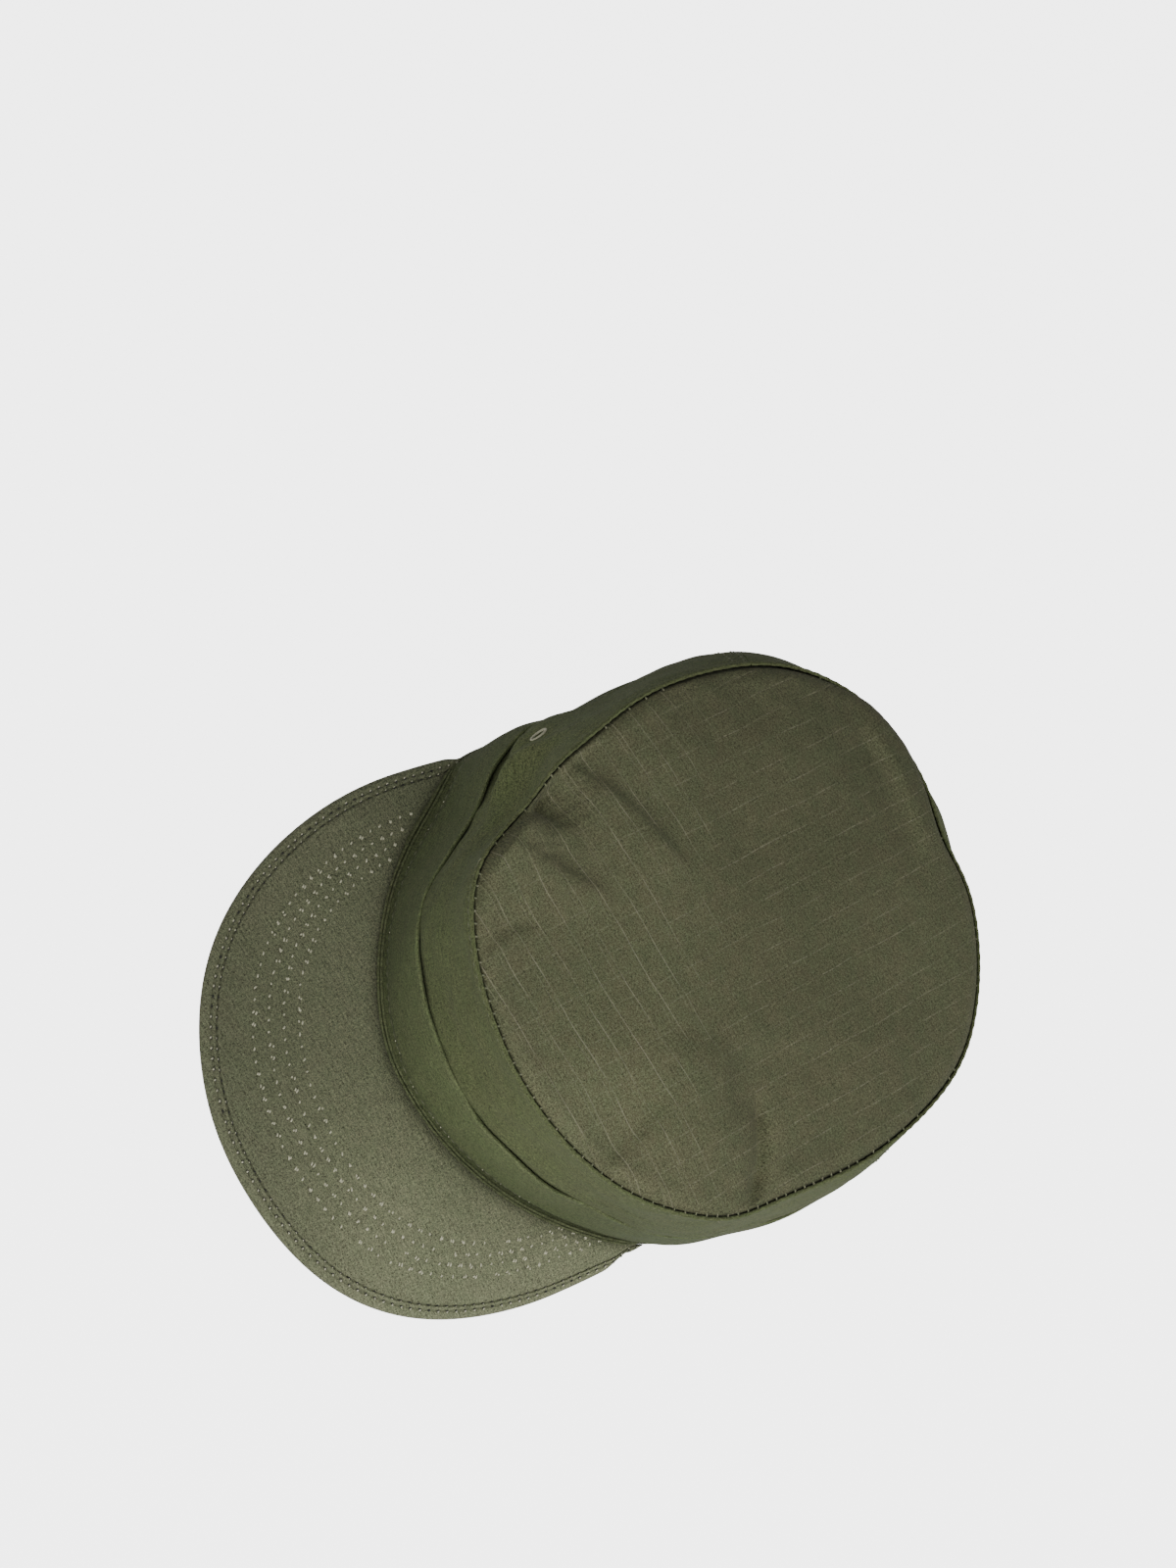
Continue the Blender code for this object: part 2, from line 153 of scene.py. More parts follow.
# Sewn rows of the peak, as distances in from its edge. The rows across the peak have a second
# number, how much further in they are at the front
PEAK_OUTER_ROW = 0.0031
PEAK_INNER_ROW = 0.0050
PEAK_EDGE_PITCH = 0.0031
PEAK_END_DEG = 64.0
PEAK_END_SHARE = 0.2
PEAK_TAPER_DEG = 5.0
PEAK_ROWS = ((0.0160, 0.0008), (0.0203, 0.0018), (0.0245, 0.0028), (0.0287, 0.0038))
PEAK_FRONT_SPREAD_DEG = 18.0

# Bumps, each a height, a middle and a width. Rubbing, painted shade and painted highlights are in the
# units of the mesh attribute that scales the cloth's colour
PEAK_EDGE_GROOVES = ((-0.00040, PEAK_OUTER_ROW, 0.00035), (-0.00080, PEAK_INNER_ROW, 0.00030))
# Painted shade in the ditches of the peak's two edge rows, with a paler strip between them
PEAK_EDGE_SHADE_AND_PALE_STRIP = ((-0.6, PEAK_OUTER_ROW, 0.00030), (0.15, 0.0041, 0.00045),
                  (-1.2, PEAK_INNER_ROW, 0.00027))
# Painted shade in the corner at the peak's root
PEAK_ROOT_PAINTED_SHADE = ((-0.8, 0.0, 0.0012), (-0.15, 0.0, 0.0040))
# Painted highlight on the crown's rounded edge, strongest round this angle, on the side towards the lamps
CROWN_EDGE_HIGHLIGHT = ((0.25, 0.0025, 0.0022),)
# Paler rolled edge of the side panels, from rubbing and a painted highlight
PANEL_EDGE_RUB_AND_HIGHLIGHT = ((0.15, 0.0007, 0.0007),)
EDGE_HIGHLIGHT_DEG = 35.0
EDGE_HIGHLIGHT_SPREAD_DEG = 45.0
# Painted shade over the panels' rolled edge, deeper towards the ditch
ROLL_PAINTED_SHADE = (-0.06, -0.12, -0.18, -0.24, -0.30, -0.35, -0.45, -0.65)
# Painted light across the peak: lighter towards the wearer's left and the root, darker towards its front
# edge
PEAK_PAINTED_LIGHT_LEFT = 3.5
PEAK_PAINTED_LIGHT_BACK = 16.0
PEAK_PAINTED_LIGHT_REACH = 0.020
PEAK_PAINTED_LIGHT_AHEAD = 0.137

# Unevenness of the cloth, each row a height, a length and a seed
UNEVEN_WAVES = 9
CROWN_UNEVEN = ((0.00030, 0.030, 3), (0.00010, 0.009, 4))
PANEL_UNEVEN = ((0.00060, 0.045, 20), (0.00035, 0.022, 21), (0.00012, 0.010, 22))
BAND_UNEVEN = ((0.00030, 0.022, 31),)
PEAK_UNEVEN = ((0.00012, 0.014, 41),)

# Mesh steps
CROWN_COLUMNS = 512
CROWN_STEPS = ((0.004, 0.93, 76), (0.9345, 0.98, 12), (0.9825, 1.0, 8))
WALL_STEP_DEG = 0.4
PANEL_STEPS = (8, 42, 22)
BAND_COLUMNS = 720
PEAK_COLUMNS = 300
PEAK_EDGE_STEPS = (0.0, 0.00005, 0.0002, 0.00045, 0.0008, 0.0012, 0.0016)
FOLD_STEPS = 48
FOLD_ENDS = 0.3

# Threads: places along one and corners round it, and the way that the knots lie
STATIONS = np.array([-1.0, -0.72, 0.0, 0.72, 1.0])
SIDES = 6
KNOT_WAY = np.array([-1.0, 1.0, 0.0])


def table(kind, *rows):
    """Rows of a table by the names of their columns."""
    return [kind(*row) for row in rows]


Swell = namedtuple("Swell", "angle spread push")

# Crown outline, pushes as shares of its own radius
CROWN_SWELLS = table(
    Swell, (-27, 5, 0.006), (-45, 9, -0.062), (-67, 14, -0.078), (50, 15, 0.043), (64, 7, 0.025),
    (-134, 17, 0.080), (-150, 8, 0.014), (-165, 22, 0.026), (138, 10, 0.020), (165, 26, 0.034),
    (-176, 6, -0.038))

# Where the crown's cloth hangs over its seam, from 0 to 1
CROWN_HANGS = table(Swell, (-153, 7, 1.3))

# Opening outline, pushes as shares of its own radius
OPENING_SWELLS = table(
    Swell, (-85, 12, -0.020), (-63, 6, 0.028), (-25, 9, -0.013), (-2, 7, 0.016), (30, 13, -0.013),
    (48, 7, -0.005))

# Side panels at mid height, pushes as shares of the crown's height
SIDE_SWELLS = table(
    Swell, (-60, 7, -0.030), (-45, 11, -0.095), (-24, 8, 0.012), (-22, 20, -0.020), (-2, 9, -0.016),
    (30, 22, -0.034), (44, 9, -0.018), (100, 25, 0.020), (-115, 18, 0.055), (180, 50, 0.020))

# Small swellings of side panels and band together, pushes as shares of the crown's height
WALL_SWELLS = table(
    Swell, (-74, 5, 0.020), (-88, 6, -0.012), (-97, 12, -0.026), (-66, 6, 0.028), (-61, 5, 0.024))

# Peak's outer edge, pushes as shares of its distance from the opening's middle
PEAK_SWELLS = table(
    Swell, (-65, 5, -0.014), (-20, 9, 0.012), (9, 6, -0.005), (30, 9, 0.015), (65, 5, -0.014))

# How far the band's upper edge stands off the side panels, as shares of the band's height
BAND_GAPES = table(Swell, (-53, 13, 0.045), (-5, 14, 0.010), (30, 18, 0.010))

# Small swellings of the side panels alone, pushes as shares of the crown's height
PANEL_SWELLS = table(
    Swell, (-131, 11, 0.042), (-100, 13, 0.028), (-171, 8, 0.045), (91, 11, 0.015))

# Small swellings of the band's upper edge alone, as shares of the band's height
EDGE_GAPES = table(Swell, (-63, 6, -0.070), (-51, 6, 0.040), (-43, 7, 0.045), (-74, 6, 0.010))

# How far the side panels come out over the band's upper edge, or stay behind it, as shares of the
# band's height
EDGE_COVERS = table(
    Swell, (-80, 6, 0.062), (-46, 7, -0.034), (-60, 6, -0.014), (84, 8, 0.026), (40, 12, 0.006))

# How much lower the band's upper edge is in places, as shares of the band's height
EDGE_DIPS = table(Swell, (-62, 13, 0.085))

# Creases of the side panels above the band. Heights are shares of the panel's height, pushes
# shares of the crown's height, and climbs shares of height per degree
Crease = namedtuple("Crease", "angle height spread tall push climb", defaults=(0.0,))
SIDE_CREASES = table(
    Crease, (-46, 0.60, 14, 0.06, 0.034), (-72, 0.54, 10, 0.06, 0.022),
    (-59, 0.63, 9, 0.045, 0.038, -0.0120), (-57, 0.54, 8, 0.035, -0.014, -0.0120),
    (-58, 0.80, 16, 0.08, -0.018), (-175, 0.86, 6, 0.12, 0.055), (62, 0.72, 7, 0.16, 0.016),
    (150, 0.55, 8, 0.20, -0.018), (-160, 0.60, 8, 0.20, 0.018))

# Paler or darker stretches of band and side panels, in the units of the mesh attribute that scales the
# cloth's colour
BAND_FADES = table(Swell, (12, 16, 0.50))
# The side panels' row at -62 degrees is painted light on the right front panel
SIDE_STRETCHES_AND_PAINTED_LIGHT = table(Swell, (22, 14, 0.16), (-62, 16, 0.42))

# Paler patches of the crown top, in the same units. Places and spreads are shares of the crown
# The last two patches are a painted highlight on the lit side of a crease
Fade = namedtuple("Fade", "x y spread wear")
CROWN_PATCHES_AND_HIGHLIGHTS = table(
    Fade, (0.37, -0.79, 0.24, 0.42), (0.79, -0.30, 0.22, 0.24), (0.27, 0.66, 0.30, 0.20),
    (0.78, -0.195, 0.05, 0.40), (0.87, -0.235, 0.05, 0.40))

# Folds and dents of the crown top, each along a curve through three places. Places are shares of
# the crown's half width and half length, width and depth shares of its half width. Step is how
# much of a fold is a step down to the left of the curve's way, and not a groove, and lean is how
# much steeper a groove's side to the right of the way is
Fold = namedtuple("Fold", "x0 y0 x1 y1 x2 y2 width depth step lean", defaults=(0.0,))
CROWN_FOLDS = table(
    Fold,
    (-0.94, -0.48, -0.62, -0.25, -0.20, -0.11, 0.055, 0.0175, 1.0),
    (-1.02, -0.93, -0.79, -0.665, -0.54, -0.44, 0.085, 0.1150, 0.6),
    (-0.72, -0.88, -0.50, -0.61, -0.22, -0.41, 0.055, 0.0150, 1.0),
    (-0.17, -1.00, -0.29, -0.86, -0.24, -0.70, 0.035, 0.0120, 0.8),
    (0.56, -0.19, 0.80, -0.215, 1.03, -0.39, 0.034, 0.0600, 0.2, -0.3),
    (0.34, -0.20, 0.56, -0.27, 0.92, -0.33, 0.110, 0.0230, 1.0),
    (0.72, -0.95, 0.60, -0.72, 0.46, -0.46, 0.060, 0.0150, 1.0),
    (-0.68, 0.78, -0.34, 0.865, 0.12, 0.85, 0.045, -0.0280, 0.7),
    (0.26, 0.31, 0.41, 0.28, 0.58, 0.20, 0.018, -0.0030, 0.3),
    (-1.02, 0.30, -0.86, 0.31, -0.66, 0.28, 0.060, 0.0080, 0.8),
    (-1.02, 0.10, -0.84, 0.10, -0.60, 0.18, 0.080, 0.0080, 0.8),
    (-0.60, 0.02, -0.40, 0.06, -0.15, 0.02, 0.110, 0.0070, 1.0),
    (1.04, 0.02, 0.90, 0.10, 0.70, 0.10, 0.060, 0.0070, 0.5),
    (0.90, 0.44, 0.82, 0.55, 0.66, 0.62, 0.070, 0.0070, 0.5),
    (0.20, -0.95, 0.18, -0.72, 0.24, -0.50, 0.070, 0.0050, 0.6),
    (-0.40, 0.55, 0.00, 0.62, 0.40, 0.55, 0.160, 0.0060, 0.5))

# Broad soft ridge across the crown: its middle behind the cap's, its turn from level, its height
# and how far it falls to the front and to the back
RIDGE_BEHIND = -0.034
RIDGE_TURN_DEG = 23.4
RIDGE_HEIGHT = 0.0028
RIDGE_FRONT = 0.055
RIDGE_BACK = 0.110
RIDGE_ROUND = 0.010
RIDGE_EDGE_SHARE = 0.35

# Looks of the cloth: a name, the cloth's colour, a warmer and a greener one, and the weave. Grids
# are the steps of the ripstop lines, and front and back their strength about the crown's ridge
# The change in the lines' strength at the crown's ridge is painted light, where the light grazes one set
# of lines and not the other
Weave = namedtuple("Weave", "turn_x turn_y grid_x grid_y front_x front_y back_x back_y "
                            "streak grain fine rib mottle bump")
SIDE_WEAVE = Weave(0.0, 0.0, 0.0069, 0.0074, 0.06, 0.08, 0.06, 0.08,
                   1.00, 1.60, 2200.0, 0.3, 0.20, 0.00013)
CLOTH_LOOKS = (
    ("crown", (88, 90, 67), (92, 90, 68), (84, 90, 65),
     Weave(-6.0, -11.8, 0.0069, 0.0074, 0.45, 1.20, 0.85, 0.12,
           0.60, 1.80, 2800.0, 0.8, 0.20, 0.00024)),
    ("side", (91, 98, 66), (94, 98, 68), (88, 98, 64), SIDE_WEAVE),
    ("band", (90, 98, 67), (93, 98, 69), (87, 98, 65),
     SIDE_WEAVE._replace(front_y=0.06, back_y=0.06)),
    ("rim", (89, 95, 67), (91, 95, 69), (87, 95, 65),
     SIDE_WEAVE._replace(front_x=0.0, front_y=0.0, back_x=0.0, back_y=0.0,
                         streak=0.80, grain=1.80, fine=2400.0, bump=0.00016)),
    ("peak", (109, 112, 88), (111, 112, 89), (106, 112, 86),
     Weave(-6.0, -11.8, 0.0069, 0.0038, 0.05, 0.22, 0.05, 0.22,
           1.00, 1.90, 2600.0, 0.6, 0.20, 0.00022)),
)
LINE_COLOUR = (170, 165, 142)
# The last look is no thread: it paints the shade in the holes of the peak's edge rows
THREAD_LOOKS = (("pale", (212, 210, 182)), ("olive", (112, 116, 86)),
                ("light", (146, 144, 116)), ("hole_shade", (34, 36, 25)))

# Stage
CAMERA_ELEVATION_DEG = 60.0
CAMERA_ROLL_DEG = 69.5
CAMERA_DISTANCE = 1.100
CAMERA_TARGET = (0.0015, -0.032, 0.040)
TARGET_PIXEL = (640.0, 1000.0)
PIXELS_PER_METRE = 3400.0
IMAGE = (1200.0, 1600.0)
SENSOR = 36.0
FLOOR_GLOW = 5.70
FLOOR_GLOW_SHARE = 0.75
PALE_SURROUNDINGS = 4.27
FILL_STRENGTH = 0.015

# Lamps, each from an angle round the cap and an elevation
LAMP_SIZE = 0.45
LAMP_DISTANCE = 0.75
LAMPS_TARGET = (0.0, -0.03, 0.05)
Lamp = namedtuple("Lamp", "name angle elevation power")
LAMPS = table(
    Lamp, ("key", 45.0, 32.0, 2.6), ("left_back", 135.0, 43.0, 2.7), ("front", 0.0, 38.0, 1.6),
    ("top", 0.0, 75.0, 1.05), ("right", -90.0, 28.0, 0.38), ("right_front", -45.0, 50.0, 0.31),
    ("back", 180.0, 50.0, 0.30))

# Small helpers


def shortest_turn(angle):
    """The same angle, between -180 and 180 degrees."""
    return (angle + 180.0) % 360.0 - 180.0


def swelling(angle, rows):
    """Sum of a table's swellings at the angles given."""
    total = np.zeros_like(angle)
    for row in rows:
        away = shortest_turn(angle - row.angle) / row.spread
        total += row.push * np.exp(-0.5 * away ** 2)
    return total


def smooth(value):
    """Smooth step of a value between 0 and 1."""
    value = np.clip(value, 0.0, 1.0)
    return value * value * (3.0 - 2.0 * value)


def hump(value, middle, width):
    """Smooth bump of height 1 round a middle value."""
    return np.exp(-((value - middle) / width) ** 2)


def humps(value, rows):
    """Sum of smooth bumps, each row a height, a middle and a width."""
    return sum(height * hump(value, middle, width) for height, middle, width in rows)


def unit(vectors):
    """The same vectors with length 1."""
    return vectors / np.linalg.norm(vectors, axis=-1)[..., None]


def heading(path):
    """Direction along a path, at each of its points."""
    return unit(np.gradient(path, axis=0))


def running_length(points):
    """Length along a row of points, from its first."""
    steps = np.linalg.norm(np.diff(points, axis=0), axis=1)
    return np.concatenate([[0.0], np.cumsum(steps)])


def direction(angle):
    """Level direction away from the cap's middle, at each angle."""
    turn = np.radians(angle)
    return np.stack([np.sin(turn), -np.cos(turn), np.zeros_like(turn)], axis=-1)


def unevenness(points, length, seed):
    """Gentle unevenness, about -1 to 1, made of a few waves of about this length."""
    generator = np.random.RandomState(seed)
    total = np.zeros(points.shape[:-1])
    for _ in range(UNEVEN_WAVES):
        way = generator.normal(size=3)
        way *= 2.0 * np.pi / (length * generator.uniform(0.7, 1.5)) / np.linalg.norm(way)
        total += np.sin(points @ way + generator.uniform(0.0, 2.0 * np.pi))
    return total / math.sqrt(UNEVEN_WAVES)


def uneven(points, rows):
    """Sum of unevenness, each row a height, a length and a seed."""
    return sum(height * unevenness(points, length, seed) for height, length, seed in rows)


def rounded(angle, half_width, half_length, squareness=2.0):
    """Radius of an ellipse, or of a squarer oval, at each angle."""
    turn = np.radians(angle)
    across = np.abs(np.sin(turn) / half_width) ** squareness
    along = np.abs(np.cos(turn) / half_length) ** squareness
    return (across + along) ** (-1.0 / squareness)


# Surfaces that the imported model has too


def rim_point(angle, outward):
    """Point of the rim's underside, this far outside the inner face of the side panels."""
    radius = rounded(angle, OPENING_HALF_WIDTH, OPENING_HALF_LENGTH)
    radius = radius * (1.0 + swelling(angle, OPENING_SWELLS))
    way = direction(angle)
    point = way * (radius + outward)[..., None]
    ahead = (-way[..., 1] * radius - RIM_LIFT_START) / (OPENING_HALF_LENGTH - RIM_LIFT_START)
    point[..., 2] = RIM_LIFT * np.clip(ahead, 0.0, None) ** RIM_LIFT_POWER
    return point


def crown_radius(angle):
    """Level distance from the crown's middle to its seam."""
    radius = rounded(angle, CROWN_HALF_WIDTH, CROWN_HALF_LENGTH, CROWN_SQUARENESS)
    return radius * (1.0 + swelling(angle, CROWN_SWELLS))


def crown_point(angle, share):
    """Point of the crown's own sloping plane, at this share of the way out to its seam."""
    point = direction(angle) * (crown_radius(angle) * share)[..., None]
    point[..., 2] = CROWN_HEIGHT - math.tan(math.radians(CROWN_SLOPE_DEG)) * point[..., 1]
    point[..., 1] -= CROWN_FORWARD
    return point


def crown_shares(point):
    """Place on the crown, as shares of its half width and half length."""
    return point[..., 0] / CROWN_HALF_WIDTH, (point[..., 1] + CROWN_FORWARD) / CROWN_HALF_LENGTH


def back_drop(angle, share):
    """How far the crown's edge turns down behind its back ridge."""
    away = shortest_turn(angle - 180.0) / BACK_RIDGE_SPREAD_DEG
    return BACK_RIDGE_DROP * np.exp(-0.5 * away ** 4) * share ** BACK_RIDGE_POWER


def seam_point(angle):
    """Point of the seam between the crown top and the side panels."""
    point = crown_point(angle, np.ones_like(angle))
    point[..., 2] -= back_drop(angle, 1.0)
    return point


def wall_height(angle):
    """Height of the side panels, from the rim's underside to the crown's seam."""
    return seam_point(angle)[..., 2] - rim_point(angle, CLOTH)[..., 2]


def wall_point(angle, share, outward=0.0):
    """Point of the side panels' outer face, at this share of their height."""
    low = rim_point(angle, CLOTH)
    point = low + (seam_point(angle) - low) * share[..., None]
    bulge = SIDE_BULGE + swelling(angle, SIDE_SWELLS + WALL_SWELLS) * CROWN_HEIGHT
    bulge = bulge * 4.0 * share * (1.0 - share)
    above_band = (share - BAND_HEIGHT / wall_height(angle)) / CREASE_START
    fading = np.clip(above_band, 0.0, 1.0) * (1.0 - share ** CREASE_END_POWER)
    for row in SIDE_CREASES:
        away = shortest_turn(angle - row.angle) / row.spread
        rise = (share - row.height - row.climb * away * row.spread) / row.tall
        push = row.push * np.exp(-0.5 * (away ** 2 + rise ** 2))
        bulge = bulge + CROWN_HEIGHT * push * fading
    return point + direction(angle) * (bulge + outward)[..., None]


def band_face(angle, share, outward):
    """Face of the band, this far outside the band's inner face."""
    up = share * wall_height(angle) / BAND_HEIGHT
    gape = swelling(angle, BAND_GAPES + EDGE_GAPES) * BAND_HEIGHT * np.clip(up, 0.0, 1.0) ** 2
    return wall_point(angle, share, GAP + gape + outward)


def peak_seat(angle):
    """Level distance from the opening's middle to the face that the peak is sewn against."""
    at_rim = rim_point(angle, CLOTH + GAP + BAND_THICKNESS)
    above = band_face(angle, PEAK_THICKNESS / wall_height(angle), BAND_THICKNESS)
    radii = (np.hypot(point[..., 0], point[..., 1]) for point in (at_rim, above))
    return np.maximum(*radii) + GAP


def peak_edge_radius(angle):
    """Level distance from the opening's middle to the peak's outer edge."""
    turn = np.radians(angle)
    across = np.abs(np.sin(turn))
    ahead = np.cos(turn)
    front = OPENING_HALF_LENGTH + CLOTH + GAP + BAND_THICKNESS + PEAK_REACH
    half_length = front - PEAK_WIDEST_AHEAD
    square = (across / PEAK_HALF_WIDTH) ** 2 + (ahead / half_length) ** 2
    middle = ahead * PEAK_WIDEST_AHEAD / half_length ** 2
    rest = (PEAK_WIDEST_AHEAD / half_length) ** 2 - 1.0
    radius = (middle + np.sqrt(middle ** 2 - square * rest)) / square
    beside = PEAK_HALF_WIDTH / np.maximum(across, 1e-6)
    radius = np.where(radius * ahead < PEAK_WIDEST_AHEAD, beside, radius)
    return radius * (1.0 + swelling(angle, PEAK_SWELLS))


def peak_underside(angle, share):
    """Underside of the peak, from its root at the band to its outer edge."""
    root = peak_seat(angle)
    edge = np.maximum(peak_edge_radius(angle), root + PEAK_THICKNESS)
    taper = smooth((PEAK_END_DEG - np.abs(angle)) / PEAK_TAPER_DEG)
    edge = root + (edge - root) * (PEAK_END_SHARE + (1.0 - PEAK_END_SHARE) * taper)
    inner = direction(angle) * root[..., None]
    inner[..., 2] = rim_point(angle, root)[..., 2]
    outer = direction(angle) * edge[..., None]
    sideways = outer[..., 0] / PEAK_HALF_WIDTH
    outer[..., 2] = PEAK_ARCH * np.clip(1.0 - sideways ** 2, 0.0, None)
    outer[..., 1] -= PEAK_LEFT_DROOP * sideways
    return inner + (outer - inner) * share[..., None]


# Meshes


def add_piece(name, mesh, look, nodes=()):
    """Puts a piece in the scene, riding on the cap's one body, in place of these nodes."""
    material, slot = look
    mesh.shade_smooth()
    mesh.materials.append(material)
    piece = bpy.data.objects.new(name, mesh)
    bpy.context.scene.collection.objects.link(piece)
    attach(piece, "root")
    if nodes:
        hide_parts(*nodes)
    return piece


def sheet(name, grid, places, look, nodes=(), around=False, over=False, wear=None):
    """Mesh through a grid of points, rows by columns, with the cloth's own coordinates.

    A grid that goes around joins its last column to its first, and one that goes over joins its
    last row to its first. The grid of places has one more column or row there.
    """
    rows, columns = grid.shape[:2]
    row, column = np.meshgrid(np.arange(rows if over else rows - 1),
                              np.arange(columns if around else columns - 1), indexing="ij")
    quads, spots = (
        np.stack([row * wide + column, row * wide + (column + 1) % wide,
                  (row + 1) % tall * wide + (column + 1) % wide, (row + 1) % tall * wide + column],
                 axis=-1).reshape(-1, 4)
        for tall, wide in (grid.shape[:2], places.shape[:2]))
    faces = quads.tolist()
    corners = places.reshape(-1, 2)[spots.reshape(-1)]
    number = np.arange(rows * columns).reshape(rows, columns)
    spot = places[:rows, :columns]
    if over:
        number, spot = number.T[:, ::-1], spot.swapaxes(0, 1)[:, ::-1]
    if around != over:
        for end, way in ((0, -1), (-1, 1)):
            faces.append(number[end, ::way].tolist())
            corners = np.concatenate([corners, spot[end, ::way]])
    mesh = bpy.data.meshes.new(name)
    mesh.from_pydata(grid.reshape(-1, 3).tolist(), [], faces)
    layer = mesh.uv_layers.new(name="cloth")
    layer.data.foreach_set("uv", corners.astype(np.float32).reshape(-1))
    if wear is not None:
        wear_and_light = mesh.attributes.new("wear", "FLOAT", "POINT")
        wear_and_light.data.foreach_set("value", wear.astype(np.float32).reshape(-1))
    return add_piece(name, mesh, look, nodes)


def wound(along, grid, closing):
    """Cloth coordinates of a closed grid, from its lengths along and the lengths over it."""
    over = running_length(grid[:, 0])
    return np.stack(np.meshgrid(along, np.append(over, over[-1] + closing)), axis=-1)


# Crown top


def fold_depth(x, y, fold):
    """Depth of one fold at plan places given as shares of the crown."""
    along = np.linspace(0.0, 1.0, FOLD_STEPS)
    start, through, end = np.array(fold[:6]).reshape(3, 1, 2)
    middle = 2.0 * through - (start + end) / 2.0
    one, two, three = (1 - along) ** 2, 2 * along * (1 - along), along ** 2
    curve = one[:, None] * start + two[:, None] * middle + three[:, None] * end
    best = np.full(x.shape, 1e9)
    side = np.zeros(x.shape)
    ends = np.zeros(x.shape)
    for place, way, share in zip(curve, heading(curve), along):
        to_x, to_y = x - place[0], y - place[1]
        away = np.hypot(to_x, to_y)
        nearer = away < best
        best = np.where(nearer, away, best)
        across = way[1] * to_x - way[0] * to_y
        side = np.where(nearer, across / np.maximum(away, 1e-6), side)
        ends = np.where(nearer, smooth(share / FOLD_ENDS) * smooth((1.0 - share) / FOLD_ENDS), ends)
    width = fold.width * (1.0 - fold.lean * side)
    groove = np.exp(-(best / width) ** 2)
    step = -side * best / width * np.exp(1.0 - best / width)
    return fold.depth * ends * ((1.0 - fold.step) * groove + fold.step * step)


def behind_ridge(point):
    """How far a point lies behind the crown's broad ridge."""
    turn = math.radians(RIDGE_TURN_DEG)
    return math.sin(turn) * point[..., 0] + math.cos(turn) * point[..., 1] - RIDGE_BEHIND


def crown_hang(angle):
    """How fully the crown's cloth hangs over its seam, from 0 to 1."""
    return np.clip(swelling(angle, CROWN_HANGS), 0.0, 1.0)


def crown_inset(angle):
    """Level distance from the crown's seam in to the edge of its visible cloth."""
    hang = crown_hang(angle)
    return (ROLL_THICKNESS + DITCH) * (1.0 - hang) - HANG_REACH * hang


def crown_inward(angle, share):
    """Level distance in from the edge of the crown's visible cloth."""
    return np.clip((1.0 - share) * crown_radius(angle) - crown_inset(angle), 0.0, None)


def crown_face(angle, share):
    """Outer face of the crown: domed, folded, turned down at the back and puckered at its seam."""
    point = crown_point(angle, share)
    point[..., 2] += CROWN_DOME * (1.0 - share ** CROWN_DOME_POWER) - back_drop(angle, share)
    behind = behind_ridge(point)
    fall = np.where(behind > 0.0, behind / RIDGE_BACK, -behind / RIDGE_FRONT)
    fall = np.sqrt(fall ** 2 + (RIDGE_ROUND / RIDGE_BACK) ** 2)
    ending = smooth((1.0 - share) / RIDGE_EDGE_SHARE)
    point[..., 2] += RIDGE_HEIGHT * np.clip(1.0 - fall, 0.0, 1.0) * ending
    x, y = crown_shares(point)
    inward = crown_inward(angle, share)
    fading = smooth(inward / FOLD_FADE)
    for fold in CROWN_FOLDS:
        point[..., 2] -= fold_depth(x, y, fold) * CROWN_HALF_WIDTH * fading
    point[..., 2] += uneven(point * LEVEL, CROWN_UNEVEN) * fading
    point[..., 2] += HANG_LIFT * crown_hang(angle) * np.exp(-inward / HANG_SPREAD)
    point[..., 2] -= SHOULDER_DROP * np.exp(-inward / SHOULDER_WIDTH)
    point[..., 2] += PUFF * hump(inward, PUFF_INSET, PUFF_SPREAD)
    strength = 0.6 + 0.4 * unevenness(seam_point(angle), 0.020, 11)
    point[..., 2] += PUCKER * seam_waves(angle) * strength * np.exp(-inward / PUCKER_REACH)
    return point


SEAM_ANGLES = np.linspace(-180.0, 180.0, 1441)
SEAM_LENGTHS = running_length(seam_point(SEAM_ANGLES))
RIM_LENGTHS = running_length(rim_point(SEAM_ANGLES, CLOTH))
BAND_ANGLES = np.arange(BAND_COLUMNS) * 360.0 / BAND_COLUMNS - 180.0


def seam_waves(angle, phase=0.0):
    """Waves of the puckers along the crown's seam, one to each stitch."""
    length = np.interp(shortest_turn(angle), SEAM_ANGLES, SEAM_LENGTHS)
    return np.sin(length * 2.0 * np.pi / STITCH_PITCH + phase)


def crown_wear_and_light(angle, share, point):
    """Painted highlight along the edge, painted shade in the ditch, painted light before the ridge and
    shade behind it, and pale patches, two of them painted highlights.
    """
    inward = crown_inward(angle, share)
    # Painted highlight along the crown's edge, strongest towards the lamps
    lit = 0.3 + 0.7 * hump(shortest_turn(angle - EDGE_HIGHLIGHT_DEG), 0.0, EDGE_HIGHLIGHT_SPREAD_DEG)
    wear_and_light = lit * humps(inward, CROWN_EDGE_HIGHLIGHT)
    # Painted shade in the ditch beside the seam, less where the cloth hangs over it
    wear_and_light = wear_and_light - 0.9 * (1.0 - crown_hang(angle)) * np.exp(-inward / DITCH)
    # Painted light before the broad ridge, painted shade behind it
    wear_and_light = wear_and_light - RIDGE_PAINTED_LIGHT * (2.0 * smooth((behind_ridge(point) + 0.013) / 0.034) - 1.0)
    x, y = crown_shares(point)
    # Pale patches, the two small ones a painted highlight beside a crease
    for row in CROWN_PATCHES_AND_HIGHLIGHTS:
        wear_and_light = wear_and_light + row.wear * hump(np.hypot(x - row.x, y - row.y), 0.0, row.spread)
    return wear_and_light


